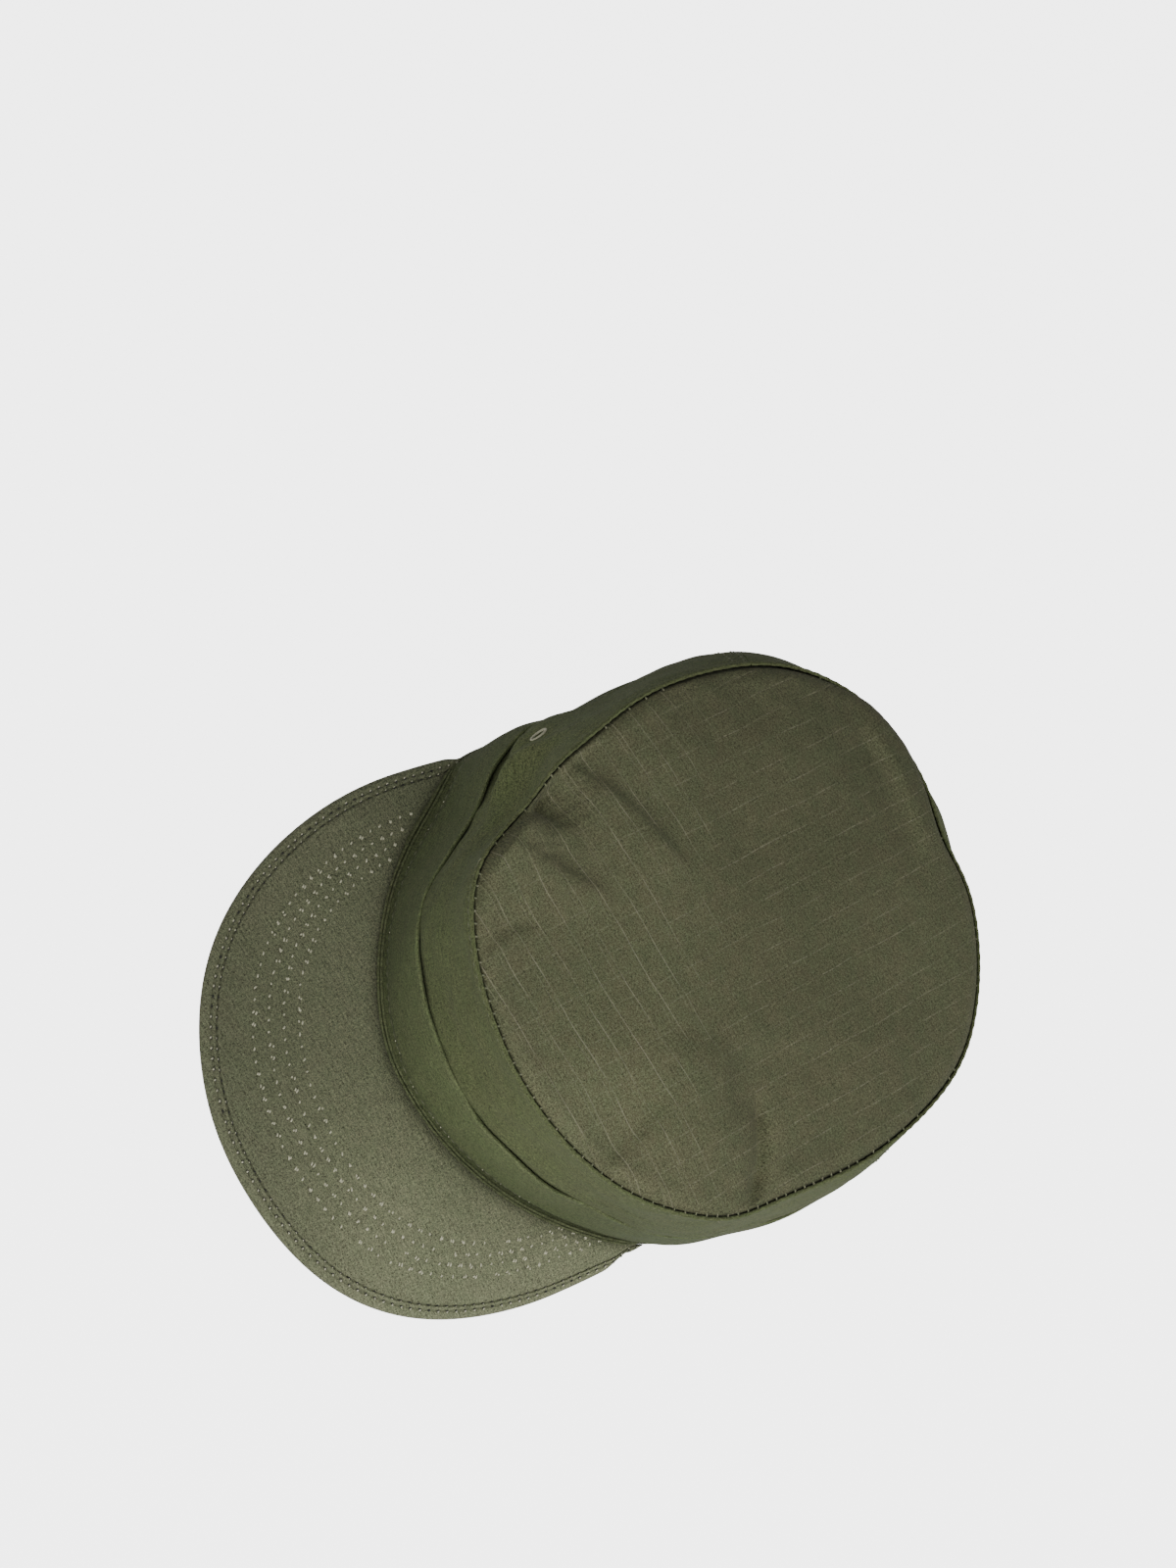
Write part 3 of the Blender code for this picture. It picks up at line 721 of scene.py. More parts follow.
def make_crown(look):
    """Crown top, with its folds, its edge turned down at the seam, and its underside."""
    angle = (np.arange(CROWN_COLUMNS) * 360.0 / CROWN_COLUMNS)[None, :]
    steps = np.concatenate([np.linspace(*row) for row in CROWN_STEPS])[:, None]
    share = steps * (1.0 - crown_inset(angle) / crown_radius(angle))
    outer = crown_face(angle + 0.0 * share, share)
    hang = crown_hang(angle)
    over = smooth((hang - HANG_START) / (1.0 - HANG_START))
    under = np.clip(1.0 - hang / HANG_START, 0.0, 1.0)
    drops = TURNED_LEAST + np.array(TURNED_DEPTHS)[:, None] * (under + HANG_TURNED * over)
    down = 1.0 - (SHOULDER_DROP + drops) / wall_height(angle)
    out = HANG_OUT * hang - (ROLL_THICKNESS + SEAM_CLOSE) * (1.0 - hang)
    turned = wall_point(angle + 0.0 * drops, down, out)
    way = direction(angle)
    back = turned[::-1] - way * TURNED_THICKNESS
    below = share[-2::-5]
    inner = crown_face(angle + 0.0 * below, below)
    inner[..., 2] -= CLOTH
    grid = np.concatenate([outer, turned, back, inner])
    flat = outer[-1:] + way * drops[..., None]
    places = np.concatenate([outer, flat, flat, inner])[..., :2]
    places = np.concatenate([places, places[:, :1]], axis=1)
    # Painted shade: the edge turned down into the ditch, its back and the underside are darker, the turned
    # edge less where it hangs over
    rest = np.full((len(grid) - len(outer), CROWN_COLUMNS), -1.0)
    rest[:len(drops)] = 0.9 * hang - 1.0
    wear_and_light = np.concatenate([crown_wear_and_light(angle, share, outer), rest])
    sheet("crown_cloth", grid, places, look, ["crown_top"], around=True, wear=wear_and_light)


# Side panels, band and rim


def topstitched(angle):
    """How fully the second stitch row is there, from 0 to 1, at each angle."""
    away = shortest_turn(angle)
    return smooth((away - TOPSTITCH_FROM_DEG) / 1.5) * smooth((TOPSTITCH_TO_DEG - away) / 1.5)


def panel_dress(angle, share):
    """How far the sewn edge of a side panel stands out: its ridge, stitch groove and puckers."""
    depth = (1.0 - share) * wall_height(angle)
    out = ROLL_RIDGE * hump(depth, ROLL_DEPTH, ROLL_SPREAD)
    groove = TOPSTITCH_GROOVE * topstitched(angle)
    out -= groove * hump(depth, TOPSTITCH_DEPTH, TOPSTITCH_SPREAD)
    return out + PUCKER * seam_waves(angle, 1.0) * hump(depth, PUCKER_DEPTH, PUCKER_TALL)


def panel_belly(angle, share):
    """How far a side panel fills out behind the band's gaping upper edge."""
    level = share * wall_height(angle)
    gape = swelling(angle, BAND_GAPES + EDGE_GAPES + EDGE_COVERS) * BAND_HEIGHT
    middle = BELLY_LEVEL - swelling(angle, EDGE_DIPS) * BAND_HEIGHT
    belly = (gape + BELLY_LEAST) * hump(level, middle, BELLY_TALL)
    above = smooth((level - BAND_HEIGHT) / 0.008) * 6.75 * share ** 2 * (1.0 - share)
    return belly + swelling(angle, PANEL_SWELLS) * CROWN_HEIGHT * above


def panel_face(angle, share):
    """Outer face of the side panels as sewn, a little uneven."""
    point = wall_point(angle, share, panel_dress(angle, share) + panel_belly(angle, share))
    push = uneven(point, PANEL_UNEVEN) * smooth((1.0 - share) / 0.10)
    return point + direction(angle) * push[..., None]


def make_side(name, start, end, look, node):
    """Side panel with its rolled upper edge, from one rear seam to the other."""
    half_gap = math.degrees(0.5 * GAP / OPENING_HALF_LENGTH)
    count = int((end - start) / WALL_STEP_DEG)
    angle = np.linspace(start + half_gap, end - half_gap, count + 1)[None, :]
    height = wall_height(angle)
    ends = ((RIM_HEIGHT + GAP) / height, (BAND_HEIGHT - 0.004) / height,
            1.0 - 0.006 / height, 1.0 - ROLL_LOWER / height)
    share = [low + (high - low) * step for low, high, steps in zip(ends, ends[1:], PANEL_STEPS)
             for step in np.linspace(0.0, 1.0, steps)[:-1]]
    share = np.concatenate(share + [ends[-1]])
    turn = angle + 0.0 * share
    outer = panel_face(turn, share)
    radius = ROLL_THICKNESS / 2.0
    way = direction(angle)
    bend = np.radians(np.arange(22.5, 181.0, 22.5))[:, None, None]
    roll = outer[-1:] - way * (radius * (1.0 - np.cos(bend))) + UP * (radius * np.sin(bend))
    inner = np.concatenate([outer[-5::-4], outer[:1]]) - way * ROLL_THICKNESS
    grid = np.concatenate([outer, roll, inner])
    along = np.interp(shortest_turn(angle[0]), SEAM_ANGLES, RIM_LENGTHS)
    along = along + np.where(angle[0] >= 180.0, RIM_LENGTHS[-1], 0.0)
    depth = (1.0 - share) * height
    # Paler rolled edge from rubbing and a painted highlight, painted light on the right front, painted
    # shade in the stitch groove, over the roll and on the inner face
    wear_and_light = humps(depth, PANEL_EDGE_RUB_AND_HIGHLIGHT) + swelling(turn, SIDE_STRETCHES_AND_PAINTED_LIGHT)
    wear_and_light = wear_and_light - 0.4 * topstitched(turn) * hump(depth, TOPSTITCH_DEPTH, 0.0003)
    rest = np.full((len(grid) - len(wear_and_light), len(along)), -0.9)
    rest[:len(ROLL_PAINTED_SHADE)] = np.array(ROLL_PAINTED_SHADE)[:, None]
    wear_and_light = np.concatenate([wear_and_light, rest])
    return sheet(name, grid, wound(along, grid, CLOTH), look, [node], over=True, wear=wear_and_light)


def foot_tuck(angle, level):
    """How far the band is drawn in at its foot, above the seam that holds the peak."""
    share = 0.35 + 0.65 * smooth((angle % 360.0 - 5.0) / 30.0)
    share = share * smooth((PEAK_ROOT_DEG - np.abs(shortest_turn(angle))) / 8.0)
    return FOOT_TUCK * share * hump(level, FOOT_LEVEL, FOOT_TALL)


def make_band(look):
    """Folded band: outer face, round fold at the top, inner face and foot."""
    angle = BAND_ANGLES[None, :]
    low = RIM_HEIGHT + GAP
    levels = np.concatenate([np.linspace(low, 0.010, 16), np.linspace(0.011, BAND_HEIGHT, 30)])
    radius = BAND_FOLD_THICKNESS / 2.0
    top = BAND_HEIGHT * (1.0 - swelling(angle, EDGE_DIPS))
    levels = low + (levels[:, None] - low) * (top - radius - low) / (BAND_HEIGHT - low)
    share = levels / wall_height(angle)
    turn = angle + 0.0 * share
    near_top = smooth((levels - top + 0.012) / 0.012)
    thick = BAND_THICKNESS + (BAND_FOLD_THICKNESS - BAND_THICKNESS) * near_top
    outer = band_face(turn, share, thick - foot_tuck(turn, levels))
    along = np.interp(angle, SEAM_ANGLES, RIM_LENGTHS)
    pucker = np.sin(along * 2.0 * np.pi / STITCH_PITCH) * np.exp(-(levels - low) / 0.004)
    push = uneven(outer, BAND_UNEVEN) * smooth((levels - 0.006) / 0.010) + PUCKER * pucker
    push = direction(angle) * push[..., None]
    outer = outer + push
    last = share[-1:]
    inner_line = band_face(angle, last, 0.0 * last) + push[-1:]
    middle = (outer[-1:] + inner_line) / 2.0
    half = (outer[-1:] - inner_line) / 2.0
    bend = np.radians(np.arange(20.0, 161.0, 20.0))[:, None, None]
    fold = middle + half * np.cos(bend) + UP * (radius * np.sin(bend))
    inner_share = share[::-5]
    inner = band_face(angle + 0.0 * inner_share, inner_share, 0.0 * inner_share)
    inner[:1] = inner_line
    grid = np.concatenate([outer, fold, inner])
    # Pale fold at the top from rubbing and a painted highlight, painted shade at the foot above the welt
    # and on the inner face
    wear_and_light = 0.45 * hump(levels, top - 0.0006, 0.0007)
    shaded = 0.4 + 0.6 * smooth((turn + 10.0) / 40.0)
    shaded = shaded * smooth((PEAK_ROOT_DEG - np.abs(turn)) / 8.0)
    wear_and_light = wear_and_light - 1.2 * shaded * hump(levels, FOOT_LEVEL - 0.001, 0.0028)
    wear_and_light = wear_and_light + swelling(turn, BAND_FADES)
    rest = np.full((len(grid) - len(wear_and_light), BAND_COLUMNS), -0.4)
    rest[:3] = 0.45
    places = wound(np.append(along, RIM_LENGTHS[-1]), grid, BAND_THICKNESS)
    sheet("band_cloth", grid, places, look, ["outer_band"], around=True, over=True,
          wear=np.concatenate([wear_and_light, rest]))


def make_rim(look):
    """Rolled rim with two soft ridges outside, flat below."""
    angle = BAND_ANGLES[None, :]
    rows = [rim_point(angle, (CLOTH + GAP + BAND_THICKNESS) * out) + UP * (RIM_HEIGHT * up)
            for out, up in RIM_PROFILE]
    grid = np.concatenate(rows)
    along = np.append(np.interp(angle, SEAM_ANGLES, RIM_LENGTHS), RIM_LENGTHS[-1])
    sheet("rim_cloth", grid, wound(along, grid, RIM_HEIGHT), look, ["rim_binding"],
          around=True, over=True)


# Peak


def row_inset(angle, inset, front):
    """Distance in from the peak's edge of a stitch row, a little more at the front."""
    return inset + front * np.exp(-(angle / PEAK_FRONT_SPREAD_DEG) ** 2)


def peak_ray(angle):
    """Length of the peak's top from its root to its edge, at each angle."""
    root = peak_underside(angle, np.zeros_like(angle))
    return np.linalg.norm(peak_underside(angle, np.ones_like(angle)) - root, axis=-1)


def peak_rows(angle, inset, width):
    """Sum of bumps at the rows of stitches across the peak."""
    return humps(inset, [(1.0, row_inset(angle, *row), width) for row in PEAK_ROWS])


def peak_relief(angle, inset):
    """Height of the sewn edge and of the stitch rows' grooves over the peak's plain top."""
    relief = humps(inset, PEAK_EDGE_GROOVES) - 0.00010 * peak_rows(angle, inset, 0.00045)
    relief = relief - 0.00030 * smooth((inset - PEAK_INNER_ROW) / 0.0006)
    root = (peak_ray(angle) - inset) / ROOT_DIP_WIDTH
    return relief - ROOT_DIP * np.exp(-np.clip(root, 0.0, None) ** 2)


def edge_rise(inset):
    """How far the peak's rounded edge rises from its middle, from 0 at the edge to 1."""
    into = np.clip(1.0 - inset / (PEAK_THICKNESS / 2.0), 0.0, 1.0)
    return np.sqrt(np.clip(1.0 - into ** 2, 0.0, 1.0))


def peak_top(angle, share):
    """Top face of the peak with its rounded, sewn edge."""
    point = peak_underside(angle, share)
    inset = (1.0 - share) * peak_ray(angle)
    point[..., 2] += PEAK_THICKNESS / 2.0 * (1.0 + edge_rise(inset))
    relief = peak_relief(angle, inset) + uneven(point * LEVEL, PEAK_UNEVEN)
    point[..., 2] += relief * smooth(inset / 0.004)
    return point


def peak_wear_and_light(angle, inset):
    """Paler edge strip, painted shade in the ditches of the sewn rows and in the corner at the root, and
    painted light across the peak.
    """
    # Painted shade in the edge rows' ditches and the grooves of the rows across the peak, and a paler
    # outer strip
    wear_and_light = humps(inset, PEAK_EDGE_SHADE_AND_PALE_STRIP) - 0.25 * peak_rows(angle, inset, 0.00030)
    wear_and_light = wear_and_light + 0.15 * smooth((PEAK_OUTER_ROW - 0.0003 - inset) / 0.0004)
    # Painted shade in the corner at the root
    wear_and_light = wear_and_light + humps(np.clip(peak_ray(angle) - inset, 0.0, None), PEAK_ROOT_PAINTED_SHADE)
    # Painted light across the peak, lighter to the wearer's left and towards the root
    place = peak_underside(angle, 1.0 - inset / peak_ray(angle))
    back = PEAK_PAINTED_LIGHT_REACH * np.tanh((place[..., 1] + PEAK_PAINTED_LIGHT_AHEAD) / PEAK_PAINTED_LIGHT_REACH)
    return wear_and_light + PEAK_PAINTED_LIGHT_LEFT * place[..., 0] + PEAK_PAINTED_LIGHT_BACK * back


def make_peak(look):
    """Peak: stitched top, rounded edge, plain underside."""
    angle = np.linspace(-PEAK_END_DEG, PEAK_END_DEG, PEAK_COLUMNS + 1)[None, :]
    ray = peak_ray(angle)
    insets = np.concatenate([PEAK_EDGE_STEPS, np.arange(0.0019, 0.0070, 0.0002)])
    near = np.minimum(insets[:, None] / ray, 0.45)
    far = near[-1:] + (1.0 - near[-1:]) * np.linspace(0.0, 1.0, 105)[1:, None]
    share = 1.0 - np.concatenate([near, far])
    turn = angle + 0.0 * share
    top = peak_top(turn, share)
    below = np.concatenate([share[::-6], share[:7:2][::-1]])
    under = peak_underside(angle + 0.0 * below, below)
    under[..., 2] += PEAK_THICKNESS / 2.0 * (1.0 - edge_rise((1.0 - below) * ray))
    grid = np.concatenate([top, under[:-1]])
    steps = np.linalg.norm(np.diff(grid, axis=0), axis=-1)
    length = np.concatenate([0.0 * steps[:1], np.cumsum(steps, axis=0)])
    root = len(top) - 1
    away = np.abs(length - length[root])[..., None]
    places = grid[root, :, :2] + direction(angle)[..., :2] * away
    places = np.concatenate([places, places[:1]])
    wear_and_light = np.concatenate([peak_wear_and_light(turn, (1.0 - share) * ray), np.zeros(under[:-1].shape[:2])])
    sheet("peak_cloth", grid, places, look, ["peak"], over=True, wear=wear_and_light)


def make_welt(look):
    """Rolled welt in the corner between the band and the peak: two ridges side by side."""
    angle = np.linspace(-PEAK_END_DEG, PEAK_END_DEG, 420)
    ending = smooth((PEAK_END_DEG - np.abs(angle)) / 6.0)
    radius = (WELT_RADIUS * (0.35 + 0.65 * ending))[:, None]
    turn = (np.arange(10) * 2.0 * np.pi / 10)[:, None, None]
    for number, (level, out) in enumerate(WELT_RIDGES):
        up = (PEAK_THICKNESS + level - ROOT_DIP * 0.6) * ending + RIM_HEIGHT * (1.0 - ending)
        path = band_face(angle, up / wall_height(angle), BAND_THICKNESS + out * ending)
        normals = direction(angle)
        beside = np.cross(normals, heading(path))
        grid = path + (np.cos(turn) * beside + np.sin(turn) * normals) * radius
        around = np.arange(len(grid) + 1) * 2.0 * np.pi * WELT_RADIUS / len(grid)
        places = np.stack(np.meshgrid(running_length(path), around), axis=-1)
        sheet(f"peak_welt_{number + 1}", grid, places, look, over=True)


# Eyelets


def eyelet_turn(facing):
    """Axes of an eyelet: level along the panel, up the panel, and straight out."""
    level = Vector(UP).cross(facing).normalized()
    return Matrix((level, facing.cross(level), facing)).transposed()


def make_eyelet(name, angle_deg, look, panel):
    """Ring of wrapped thread round a vent hole, and the hole through the side panel."""
    spread = math.degrees(EYELET_RADIUS / OPENING_HALF_WIDTH)
    angle = np.array([angle_deg, angle_deg + spread, angle_deg])
    share = EYELET_HEIGHT_SHARE + np.array([0.0, 0.0, EYELET_RADIUS / CROWN_HEIGHT])
    centre, beside, above = (Vector(point) for point in wall_point(angle, share))
    facing = (beside - centre).cross(above - centre).normalized()
    around = np.arange(168) * 2.0 * np.pi / 168
    section = np.arange(12)[:, None] * 2.0 * np.pi / 12
    radius = EYELET_THREAD_RADIUS * (1.0 + 0.16 * np.abs(np.sin(around * 14.0)))
    out = EYELET_RADIUS + radius * np.cos(section)
    pinch = 1.0 - EYELET_PINCH
    grid = np.stack([out * np.cos(around), out * pinch * np.sin(around),
                     0.9 * radius * np.sin(section)], axis=-1)
    grid = grid @ np.array(eyelet_turn(facing)).T + np.array(centre)
    places = np.stack(np.meshgrid(np.arange(169) * 0.0001, np.arange(13) * 0.0004), axis=-1)
    sheet(name + "_thread", grid, places, look, [name], around=True, over=True)
    bpy.ops.mesh.primitive_cylinder_add(vertices=32, radius=EYELET_RADIUS - 0.0002, depth=0.008)
    cutter = bpy.context.object
    cutter.matrix_world = Matrix.Translation(centre) @ eyelet_turn(facing).to_4x4()
    cutter.scale = (1.0, pinch, 1.0)
    cut = panel.modifiers.new("hole", "BOOLEAN")
    cut.operation = "DIFFERENCE"
    cut.solver = "EXACT"
    cut.object = cutter
    graph = bpy.context.evaluated_depsgraph_get()
    made = bpy.data.meshes.new_from_object(panel.evaluated_get(graph))
    panel.modifiers.clear()
    panel.data = made
    bpy.data.objects.remove(cutter)


# Stitches. A row of them is its middles, its ways and its normals


def stitches(path, normals, pitch):
    """Row of stitches at even steps along a path."""
    length = running_length(path)
    count = int(length[-1] / pitch)
    at = (np.arange(count) + 0.5) * length[-1] / count
    middle, ahead, behind, normal = (
        np.stack([np.interp(place, length, points[:, k]) for k in range(3)], axis=1)
        for place, points in ((at, path), (at + pitch / 4, path), (at - pitch / 4, path),
                              (at, normals)))
    return middle, unit(ahead - behind), unit(normal)


def face_row(face):
    """Path and normals of a row on a face, from its points a little below, at and above it."""
    below, path, above = (face(step) for step in (0.0004, 0.0, -0.0004))
    return path, unit(np.cross(np.gradient(path, axis=0), above - below))


def jitter(values, amount, seed):
    """The same values with a little seeded scatter."""
    return values + np.random.RandomState(seed).uniform(-amount, amount, size=values.shape)


def some(row, share, seed):
    """A seeded part of a row of stitches."""
    keep = np.random.RandomState(seed).uniform(size=len(row[0])) < share
    return tuple(values[keep] for values in row)


def knots(row, shift, seed):
    """Short cross threads between stitches."""
    middle, way, normal = row
    lean = KNOT_WAY + np.random.RandomState(seed).normal(scale=0.35, size=middle.shape)
    lean -= normal * np.sum(lean * normal, axis=1)[:, None]
    return middle + way * shift, unit(lean), normal


def sew(name, row, length, radius, lift, look, scatter=None):
    """One mesh of short threads, each bowed up in its middle with its ends in the cloth."""
    middle, way, normal = row
    length = np.full(len(middle), length)
    if scatter:
        length = jitter(length, *scatter)
    beside = np.cross(normal, way)
    turn = (np.arange(SIDES) * 2.0 * np.pi / SIDES)[None, :, None]
    bow = (lift - 2.2 * radius * np.abs(STATIONS) ** 3)[None, :, None]
    thin = (1.0 - 0.45 * STATIONS ** 4)[None, :, None, None]
    half = (length / 2.0)[:, None, None]
    spine = middle[:, None, :] + way[:, None, :] * half * STATIONS[None, :, None]
    spine = spine + normal[:, None, :] * bow
    ring = radius * (np.cos(turn) * beside[:, None, :] + np.sin(turn) * normal[:, None, :])
    points = spine[:, :, None, :] + ring[:, None, :, :] * thin
    number = np.arange(len(STATIONS) * SIDES).reshape(-1, SIDES)
    over = np.roll(number, -1, axis=1)
    one = np.stack([number[:-1], over[:-1], over[1:], number[1:]], axis=-1).reshape(-1, 4)
    start = (np.arange(len(middle)) * number.size)[:, None, None]
    faces = (one + start).reshape(-1, 4).tolist()
    faces += (np.array([number[0, ::-1], number[-1]]) + start).reshape(-1, SIDES).tolist()
    mesh = bpy.data.meshes.new(name)
    mesh.from_pydata(points.reshape(-1, 3).tolist(), [], faces)
    add_piece(name, mesh, look)


def ditch_row():
    """Path and normals of the ditch between the crown and the panels' rolled edge."""
    inset = (ROLL_THICKNESS + DITCH * 0.5) / crown_radius(SEAM_ANGLES)
    path = crown_point(SEAM_ANGLES, 1.0 - inset)
    path[..., 2] -= back_drop(SEAM_ANGLES, 1.0) + SHOULDER_DROP * 0.45
    way = heading(path)
    return path, unit(np.cross(way, np.cross(UP, way)))


def sew_crown(light, soft):
    """Stitches that bridge the ditch beside the crown, and the second row on the panel."""
    row = stitches(*ditch_row(), STITCH_PITCH)
    turn = np.degrees(np.arctan2(row[0][:, 0], -row[0][:, 1] - CROWN_FORWARD))
    near = np.where((turn > TOPSTITCH_FROM_DEG) & (turn < 100.0), 1.0, 0.25)
    middle, way, normal = some(row, near, 51)
    across = np.cross(normal, way)
    sew("crown_seam_stitches", (middle, across, normal), 0.0013, 0.00026, 0.00020, soft)
    at = middle + across * jitter(np.zeros(len(middle)), 0.0004, 54)[:, None]
    tied = some(knots((at, way, normal), 0.0, 52), 0.45, 55)
    sew("crown_seam_knots", tied, 0.0006, 0.00017, 0.00040, light)
    start, end = TOPSTITCH_FROM_DEG + 0.5, TOPSTITCH_TO_DEG - 0.5
    angle = np.linspace(start, end, int((end - start) / 0.25) + 1)
    height = wall_height(angle)
    row = face_row(lambda step: panel_face(angle, 1.0 - (TOPSTITCH_DEPTH + step) / height))
    row = stitches(*row, STITCH_PITCH)
    sew("panel_topstitches", row, STITCH_PITCH * 0.78, 0.00022, 0.00006, soft, (0.0003, 53))
    tied = some(knots(row, STITCH_PITCH / 2, 56), 0.4, 57)
    sew("panel_knots", tied, 0.0006, 0.00018, 0.00016, light)


def sew_backtacks(soft):
    """Short thick rows of thread where the second row of the crown's seam starts and ends."""
    for name, angle_deg in (("start", TOPSTITCH_FROM_DEG), ("end", TOPSTITCH_TO_DEG)):
        angle = angle_deg - np.linspace(1.2, 0.0, 5)
        depth = np.linspace(0.0006, TOPSTITCH_DEPTH + 0.0004, 5)
        middle = panel_face(angle, 1.0 - depth / wall_height(angle))
        normal = direction(angle) * 0.8 + UP * 0.6
        sew(f"backtack_{name}", (middle, heading(middle), normal), 0.0011, 0.00024, 0.00020, soft)


def sew_band(soft, pale):
    """Stitch row along the foot of the band."""
    thick = BAND_THICKNESS - foot_tuck(SEAM_ANGLES, BAND_STITCH_HEIGHT)
    height = wall_height(SEAM_ANGLES)
    row = face_row(lambda step: band_face(SEAM_ANGLES, (BAND_STITCH_HEIGHT - step) / height, thick))
    row = stitches(*row, STITCH_PITCH)
    sew("band_stitches", row, STITCH_PITCH * 0.72, 0.00020, 0.00004, soft, (0.0003, 61))
    tied = some(knots(row, STITCH_PITCH / 2, 62), 0.45, 63)
    sew("band_knots", tied, 0.0006, 0.00016, 0.00014, pale)


def sew_rear_seams(soft):
    """Two stitched rows beside each seam that joins the side panels."""
    share = np.linspace(0.46, 0.965, 121)
    for side, angle_deg, sign in (("right", RIGHT_SEAM_DEG, 1.0), ("left", LEFT_SEAM_DEG, -1.0)):
        for number, away in enumerate(REAR_SEAM_ROWS):
            angle = angle_deg + sign * math.degrees(away / OPENING_HALF_LENGTH) + 0.0 * share
            path = panel_face(angle, share)
            beside = panel_face(angle + math.degrees(0.0004 / OPENING_HALF_LENGTH), share)
            normal = unit(np.cross(beside - path, np.gradient(path, axis=0)))
            row = stitches(path, normal, STITCH_PITCH * 0.8)
            sew(f"rear_seam_{side}_{number + 1}", row, STITCH_PITCH * 0.6, 0.00022, 0.00008, soft,
                (0.0002, 65 + number))


def peak_row(inset, front=0.0):
    """Path and normals of a row on the peak's top, this far in from its edge."""
    angle = np.linspace(0.5 - PEAK_END_DEG, PEAK_END_DEG - 0.5, 901)
    ray = peak_ray(angle)
    away = row_inset(angle, inset, front)
    keep = away < ray - 0.0006
    angle, ray, away = angle[keep], ray[keep], away[keep]
    path, normals = face_row(lambda step: peak_top(angle, 1.0 - (away + step) / ray))
    return path, normals * np.sign(normals[:, 2:3])


def sew_peak(hole_shade, pale, soft):
    """Two edge rows and the four rows across the peak, with pale knots between the stitches and painted
    shade in the edge rows' holes.
    """
    for number, places in enumerate(PEAK_ROWS):
        row = stitches(*peak_row(*places), STITCH_PITCH)
        sew(f"peak_stitches_{number + 1}", row, STITCH_PITCH * 0.70, 0.00016, 0.0, soft,
            (0.0003, 71 + number))
        tied = some(knots(row, STITCH_PITCH / 2, 81 + number), 0.95, 85)
        at, lean, up = some(knots(row, STITCH_PITCH / 2, 111 + number), 0.55, 115)
        at = at - np.cross(up, lean) * jitter(np.full(len(at), 0.0007), 0.0003, 121)[:, None]
        at, lean, up = (np.concatenate(pair) for pair in zip(tied, (at, lean, up)))
        sew(f"peak_knots_{number + 1}", (jitter(at, 0.00012, 101 + number), lean, up), 0.0012,
            0.00027, 0.00026, pale, (0.0004, 86 + number))
    for name, inset, shift, seed in (("outer", PEAK_OUTER_ROW, 0.0002, 91),
                                     ("inner", PEAK_INNER_ROW, 0.0004, 92)):
        row = stitches(*peak_row(inset), PEAK_EDGE_PITCH)
        sew(f"peak_{name}_stitches", row, PEAK_EDGE_PITCH * 0.60, 0.00022, 0.00004, soft,
            (0.0003, seed))
        # Small pieces of painted shade, not thread, in the stitch holes
        at, lean, up = knots(row, PEAK_EDGE_PITCH / 2, seed + 5)
        sew(f"peak_{name}_hole_shades", (at, row[1], up), 0.0013, 0.00040, 0.00022, hole_shade)
        tied = some((at - np.cross(up, row[1]) * shift, lean, up), 0.75, seed + 7)
        sew(f"peak_{name}_knots", tied, 0.0009, 0.00024, 0.00044, pale)


# Materials


def linear(red, green, blue):
    """Linear colour from the 0 to 255 values of a screen."""
    values = [value / 255.0 for value in (red, green, blue)]
    values = [value / 12.92 if value <= 0.04045 else ((value + 0.055) / 1.055) ** 2.4
              for value in values]
    return (*values, 1.0)


class Look:
    """Node tree of a material or of the surroundings, built by small steps."""

    def __init__(self, holder):
        holder.use_nodes = True
        self.holder = holder
        self.tree = holder.node_tree
        self.shader = self.tree.nodes.get("Principled BSDF")

    def set(self, socket, value):
        """Feeds a socket from another socket, or gives it a plain value."""
        if isinstance(value, bpy.types.NodeSocket):
            self.tree.links.new(value, socket)
        else:
            socket.default_value = value

    def shade(self, **values):
        """Feeds or sets sockets of the material's own shader, by name."""
        for name, value in values.items():
            self.set(self.shader.inputs[name.replace("_", " ")], value)

    def add(self, kind, *values, output=0, **settings):
        """New node of this kind, its inputs in order and its settings by name."""
        node = self.tree.nodes.new("ShaderNode" + kind)
        for name, value in settings.items():
            if name in node.bl_rna.properties.keys():
                setattr(node, name, value)
            else:
                self.set(node.inputs[name.replace("_", " ")], value)
        for socket, value in zip(node.inputs, values):
            self.set(socket, value)
        return node.outputs[output]

    def math(self, operation, first, *others):
        """Math nodes that work through these values from the first on."""
        for value in others:
            first = self.add("Math", first, value, operation=operation)
        return first

    plus = partialmethod(math, "ADD")
    minus = partialmethod(math, "SUBTRACT")
    times = partialmethod(math, "MULTIPLY")

    def mix(self, share, one, two):
        """Colour between two colours."""
        node = self.tree.nodes.new("ShaderNodeMix")
        node.data_type = "RGBA"
        for number, value in ((0, share), (6, one), (7, two)):
            self.set(node.inputs[number], value)
        return node.outputs[2]

    def ramp(self, value, low, high, out_low=0.0, out_high=1.0):
        """Smooth change from one value to another."""
        return self.add("MapRange", value, low, high, out_low, out_high, interpolation_type="SMOOTHSTEP")

    def noise(self, vector, scale, detail=2.0, roughness=0.5):
        """Noise between 0 and 1."""
        return self.add("TexNoise", Vector=vector, Scale=scale, Detail=detail, Roughness=roughness)

    def turned(self, vector, degrees):
        """Coordinates turned by an angle."""
        return self.add("VectorRotate", Vector=vector, Angle=math.radians(degrees), rotation_type="Z_AXIS")

    def seen_or_not(self, seen, unseen):
        """One shader for what the camera sees, and another for the light that it gives."""
        return self.add("MixShader", self.add("LightPath"), unseen, seen)


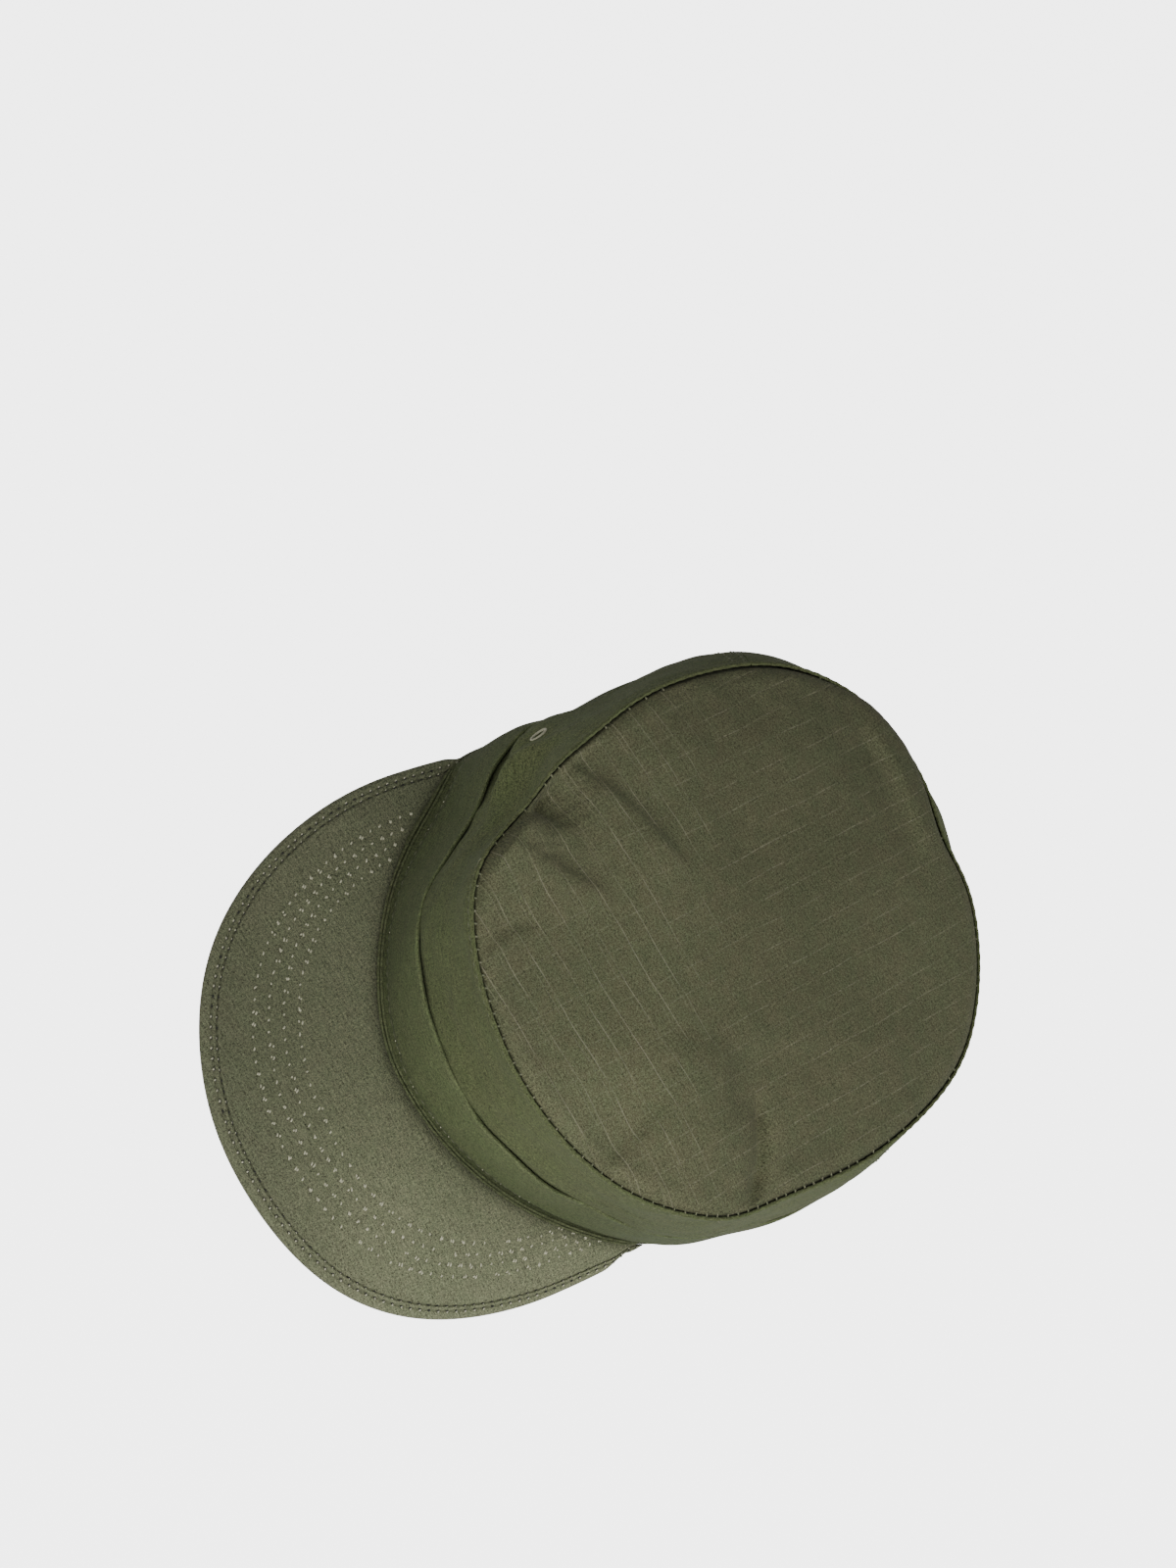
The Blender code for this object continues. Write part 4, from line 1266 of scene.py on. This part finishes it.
def broken_line(look, coordinate, other, pitch, seed, gaps, dots):
    """Thin pale thread at every pitch along one coordinate, fainter in some stretches."""
    mask = look.ramp(look.math("PINGPONG", coordinate, pitch / 2.0), 0.00006, 0.00026, 1.0, 0.0)
    line = look.times(coordinate, 260.0)
    for scale, shift, detail, edge, depth in ((1100.0, 3.0, 1.0, 0.15, dots),
                                              (70.0, 0.0, 2.0, 0.12, gaps)):
        place = look.add("CombineXYZ", look.times(other, scale), line, seed + shift)
        noise = look.noise(place, 1.0, detail)
        mask = look.times(mask, look.ramp(noise, 0.5 - edge, 0.5 + edge, 1.0 - depth, 1.0))
    return mask


def line_strength(look, place, front, back):
    """Strength of the ripstop lines, which differs before and behind the crown's ridge: painted light,
    where light grazes one set of lines.
    """
    if front == back:
        return front
    turn = math.radians(RIDGE_TURN_DEG)
    across = look.add("VectorMath", place, (math.sin(turn), math.cos(turn), 0.0),
                      operation="DOT_PRODUCT", output=1)
    return look.ramp(across, RIDGE_BEHIND - 0.014, RIDGE_BEHIND + 0.022, front, back)


def ribs(look, place, x, y):
    """Uneven ribs along one coordinate, round 0."""
    stretched = look.add("VectorMath", place, (x, y, 1.0), operation="MULTIPLY")
    return look.minus(look.noise(stretched, 1.0, 2.0, 0.6), 0.5)


def cloth_look(name, colour, warm, green, weave):
    """Woven cloth: fine threads, ripstop lines, slubs, patches of hue, rubbing, painted shade and painted
    highlights from the mesh, faint sheen.
    """
    look = Look(bpy.data.materials.new(name + "_ripstop"))
    colour, warm, green = (linear(*values) for values in (colour, warm, green))
    place = look.add("UVMap", uv_map="cloth")
    turned, other = (look.turned(place, turn) for turn in (weave.turn_y, weave.turn_x))
    wander = look.times(look.minus(look.noise(turned, 45.0, 1.0), 0.5), 0.0016)
    u = look.plus(look.add("SeparateXYZ", other, output=0), wander)
    v = look.minus(look.add("SeparateXYZ", turned, output=1), wander)
    along_y = line_strength(look, place, weave.front_y, weave.back_y)
    along_x = line_strength(look, place, weave.front_x, weave.back_x)
    warp = look.times(broken_line(look, v, u, weave.grid_y, 0.0, 0.75, 0.3), along_y)
    weft = look.times(broken_line(look, u, v, weave.grid_x, 7.0, 0.85, 0.9), along_x)
    double = broken_line(look, look.plus(v, 0.0016), u, weave.grid_y, 13.0, 1.0, 0.5)
    lines = look.plus(warp, weft, look.times(double, look.times(along_y, 0.35)))
    ribbed = look.plus(ribs(look, turned, 190.0, 1500.0),
                       look.times(ribs(look, turned, 1500.0, 170.0), weave.rib))
    grain = look.minus(look.noise(turned, weave.fine, 1.0, 0.6), 0.5)
    slub = look.minus(look.noise(turned, weave.fine * 0.5, 1.0, 0.5), 0.5)
    tone = look.times(look.plus(grain, look.times(slub, 0.7)), weave.grain)
    tone = look.plus(tone, look.times(ribbed, weave.streak), 1.0)
    tone = look.times(tone, look.ramp(look.noise(turned, 16.0, 2.0), 0.30, 0.70, 0.95, 1.05))
    # The mesh attribute scales the colour: some rubbing, painted shade in hollows and corners, painted
    # highlights on lit edges
    wear_and_light = look.add("Attribute", attribute_name="wear", output=2)
    tone = look.times(tone, look.plus(look.times(wear_and_light, 0.45), 1.0))
    hue = look.plus(look.times(look.noise(turned, 170.0, 2.0, 0.6), 0.65),
                    look.times(look.noise(turned, 30.0, 1.0), 0.35))
    hue = look.ramp(hue, 0.5 - weave.mottle, 0.5 + weave.mottle)
    base = look.mix(0.4, look.mix(hue, green, warm), colour)
    shade = look.add("CombineXYZ", tone, tone, tone)
    tinted = look.add("VectorMath", base, shade, operation="MULTIPLY")
    height = look.plus(grain, look.times(slub, 0.8), look.times(ribbed, 0.5), look.times(lines, 0.6))
    look.shade(Base_Color=look.mix(look.times(lines, 0.34), tinted, linear(*LINE_COLOUR)),
               Roughness=look.plus(look.times(grain, 0.3), 0.82),
               Sheen_Weight=0.03, Sheen_Roughness=0.5, Specular_IOR_Level=0.12,
               Normal=look.add("Bump", Strength=0.6, Distance=weave.bump, Height=height))
    return look.holder, name + "_cloth"


def thread_look(name, colour):
    """Twisted thread, a little uneven, also used for the painted shade in stitch holes."""
    look = Look(bpy.data.materials.new(name + "_thread"))
    fuzz = look.noise(look.add("TexCoord", output=3), 2600.0, 2.0)
    bright = linear(*colour)
    dim = (*(0.72 * value for value in bright[:3]), 1.0)
    look.shade(Base_Color=look.mix(look.ramp(fuzz, 0.3, 0.7), dim, bright),
               Roughness=0.75, Sheen_Weight=0.2,
               Normal=look.add("Bump", Strength=0.5, Distance=0.0001, Height=fuzz))
    return look.holder, "eyelet_thread"


# Stage


def way_to(angle, elevation):
    """Direction to a lamp or camera, at an angle round the cap and an elevation."""
    turn, rise = math.radians(angle), math.radians(elevation)
    return Vector((math.sin(turn) * math.cos(rise), -math.cos(turn) * math.cos(rise), math.sin(rise)))


def make_camera():
    """Camera at the photograph's angle, with the target at its pixel."""
    roll = math.radians(CAMERA_ROLL_DEG)
    back = way_to(0.0, CAMERA_ELEVATION_DEG)
    level = Vector((1.0, 0.0, 0.0))
    above = back.cross(level)
    up = math.cos(roll) * above - math.sin(roll) * level
    right = math.cos(roll) * level + math.sin(roll) * above
    axes = Matrix((right, up, back)).transposed()
    focal = PIXELS_PER_METRE * CAMERA_DISTANCE
    aim = Vector(((TARGET_PIXEL[0] - IMAGE[0] / 2.0) / focal,
                  -(TARGET_PIXEL[1] - IMAGE[1] / 2.0) / focal, -1.0))
    swing = aim.rotation_difference(Vector((0.0, 0.0, -1.0))).to_matrix()
    data = bpy.data.cameras.new("camera")
    data.lens = focal / IMAGE[1] * SENSOR
    data.sensor_width = SENSOR
    data.clip_start = 0.01
    camera = bpy.data.objects.new("camera", data)
    place = Vector(CAMERA_TARGET) + CAMERA_DISTANCE * back
    camera.matrix_world = Matrix.Translation(place) @ (axes @ swing).to_4x4()
    bpy.context.scene.collection.objects.link(camera)
    bpy.context.scene.camera = camera


def make_floor():
    """Plain pale floor, evenly bright except inside the cap, on which the cap lies."""
    bpy.ops.mesh.primitive_plane_add(size=8.0)
    floor = bpy.context.object
    floor.name = "floor"
    look = Look(bpy.data.materials.new("floor"))
    look.shade(Base_Color=(0.80, 0.80, 0.80, 1.0), Roughness=0.9)
    own = look.shader.outputs[0]
    half = (1.0 / OPENING_HALF_WIDTH, 1.0 / OPENING_HALF_LENGTH, 0.0)
    scaled = look.add("VectorMath", look.add("TexCoord", output=3), half, operation="MULTIPLY")
    away = look.add("VectorMath", scaled, operation="LENGTH", output=1)
    share = look.ramp(away, 0.96, 1.0, 0.0, FLOOR_GLOW_SHARE)
    lit = look.add("MixShader", share, own, look.add("Emission", WHITE, FLOOR_GLOW))
    look.set(look.tree.nodes["Material Output"].inputs[0], look.seen_or_not(lit, own))
    floor.data.materials.append(look.holder)


def make_lights():
    """Soft lamps, mostly from the wearer's left and front, in pale surroundings."""
    for lamp in LAMPS:
        way = way_to(lamp.angle, lamp.elevation)
        data = bpy.data.lights.new(lamp.name, "AREA")
        data.size = LAMP_SIZE
        data.energy = lamp.power
        light = bpy.data.objects.new(lamp.name, data)
        light.location = Vector(LAMPS_TARGET) + LAMP_DISTANCE * way
        light.rotation_euler = way.to_track_quat("Z", "Y").to_euler()
        bpy.context.scene.collection.objects.link(light)
    look = Look(bpy.data.worlds.new("surroundings"))
    seen, fill = (look.add("Background", WHITE, value) for value in (PALE_SURROUNDINGS, FILL_STRENGTH))
    look.set(look.tree.nodes["World Output"].inputs[0], look.seen_or_not(seen, fill))
    bpy.context.scene.world = look.holder


def main():
    crown, side, band, rim, peak = (cloth_look(*row) for row in CLOTH_LOOKS)
    pale, soft, light, hole_shade = (thread_look(*row) for row in THREAD_LOOKS)
    make_crown(crown)
    front = make_side("side_front_cloth", RIGHT_SEAM_DEG, LEFT_SEAM_DEG, side, "side_front")
    make_side("side_rear_cloth", LEFT_SEAM_DEG, RIGHT_SEAM_DEG + 360.0, side, "side_rear")
    make_band(band)
    make_rim(rim)
    make_welt(rim)
    make_peak(peak)
    make_eyelet("eyelet_right", -EYELET_DEG, pale, front)
    make_eyelet("eyelet_left", EYELET_DEG, pale, front)
    sew_crown(light, soft)
    sew_backtacks(soft)
    sew_band(soft, pale)
    sew_rear_seams(soft)
    sew_peak(hole_shade, pale, soft)
    make_floor()
    make_lights()
    make_camera()


main()
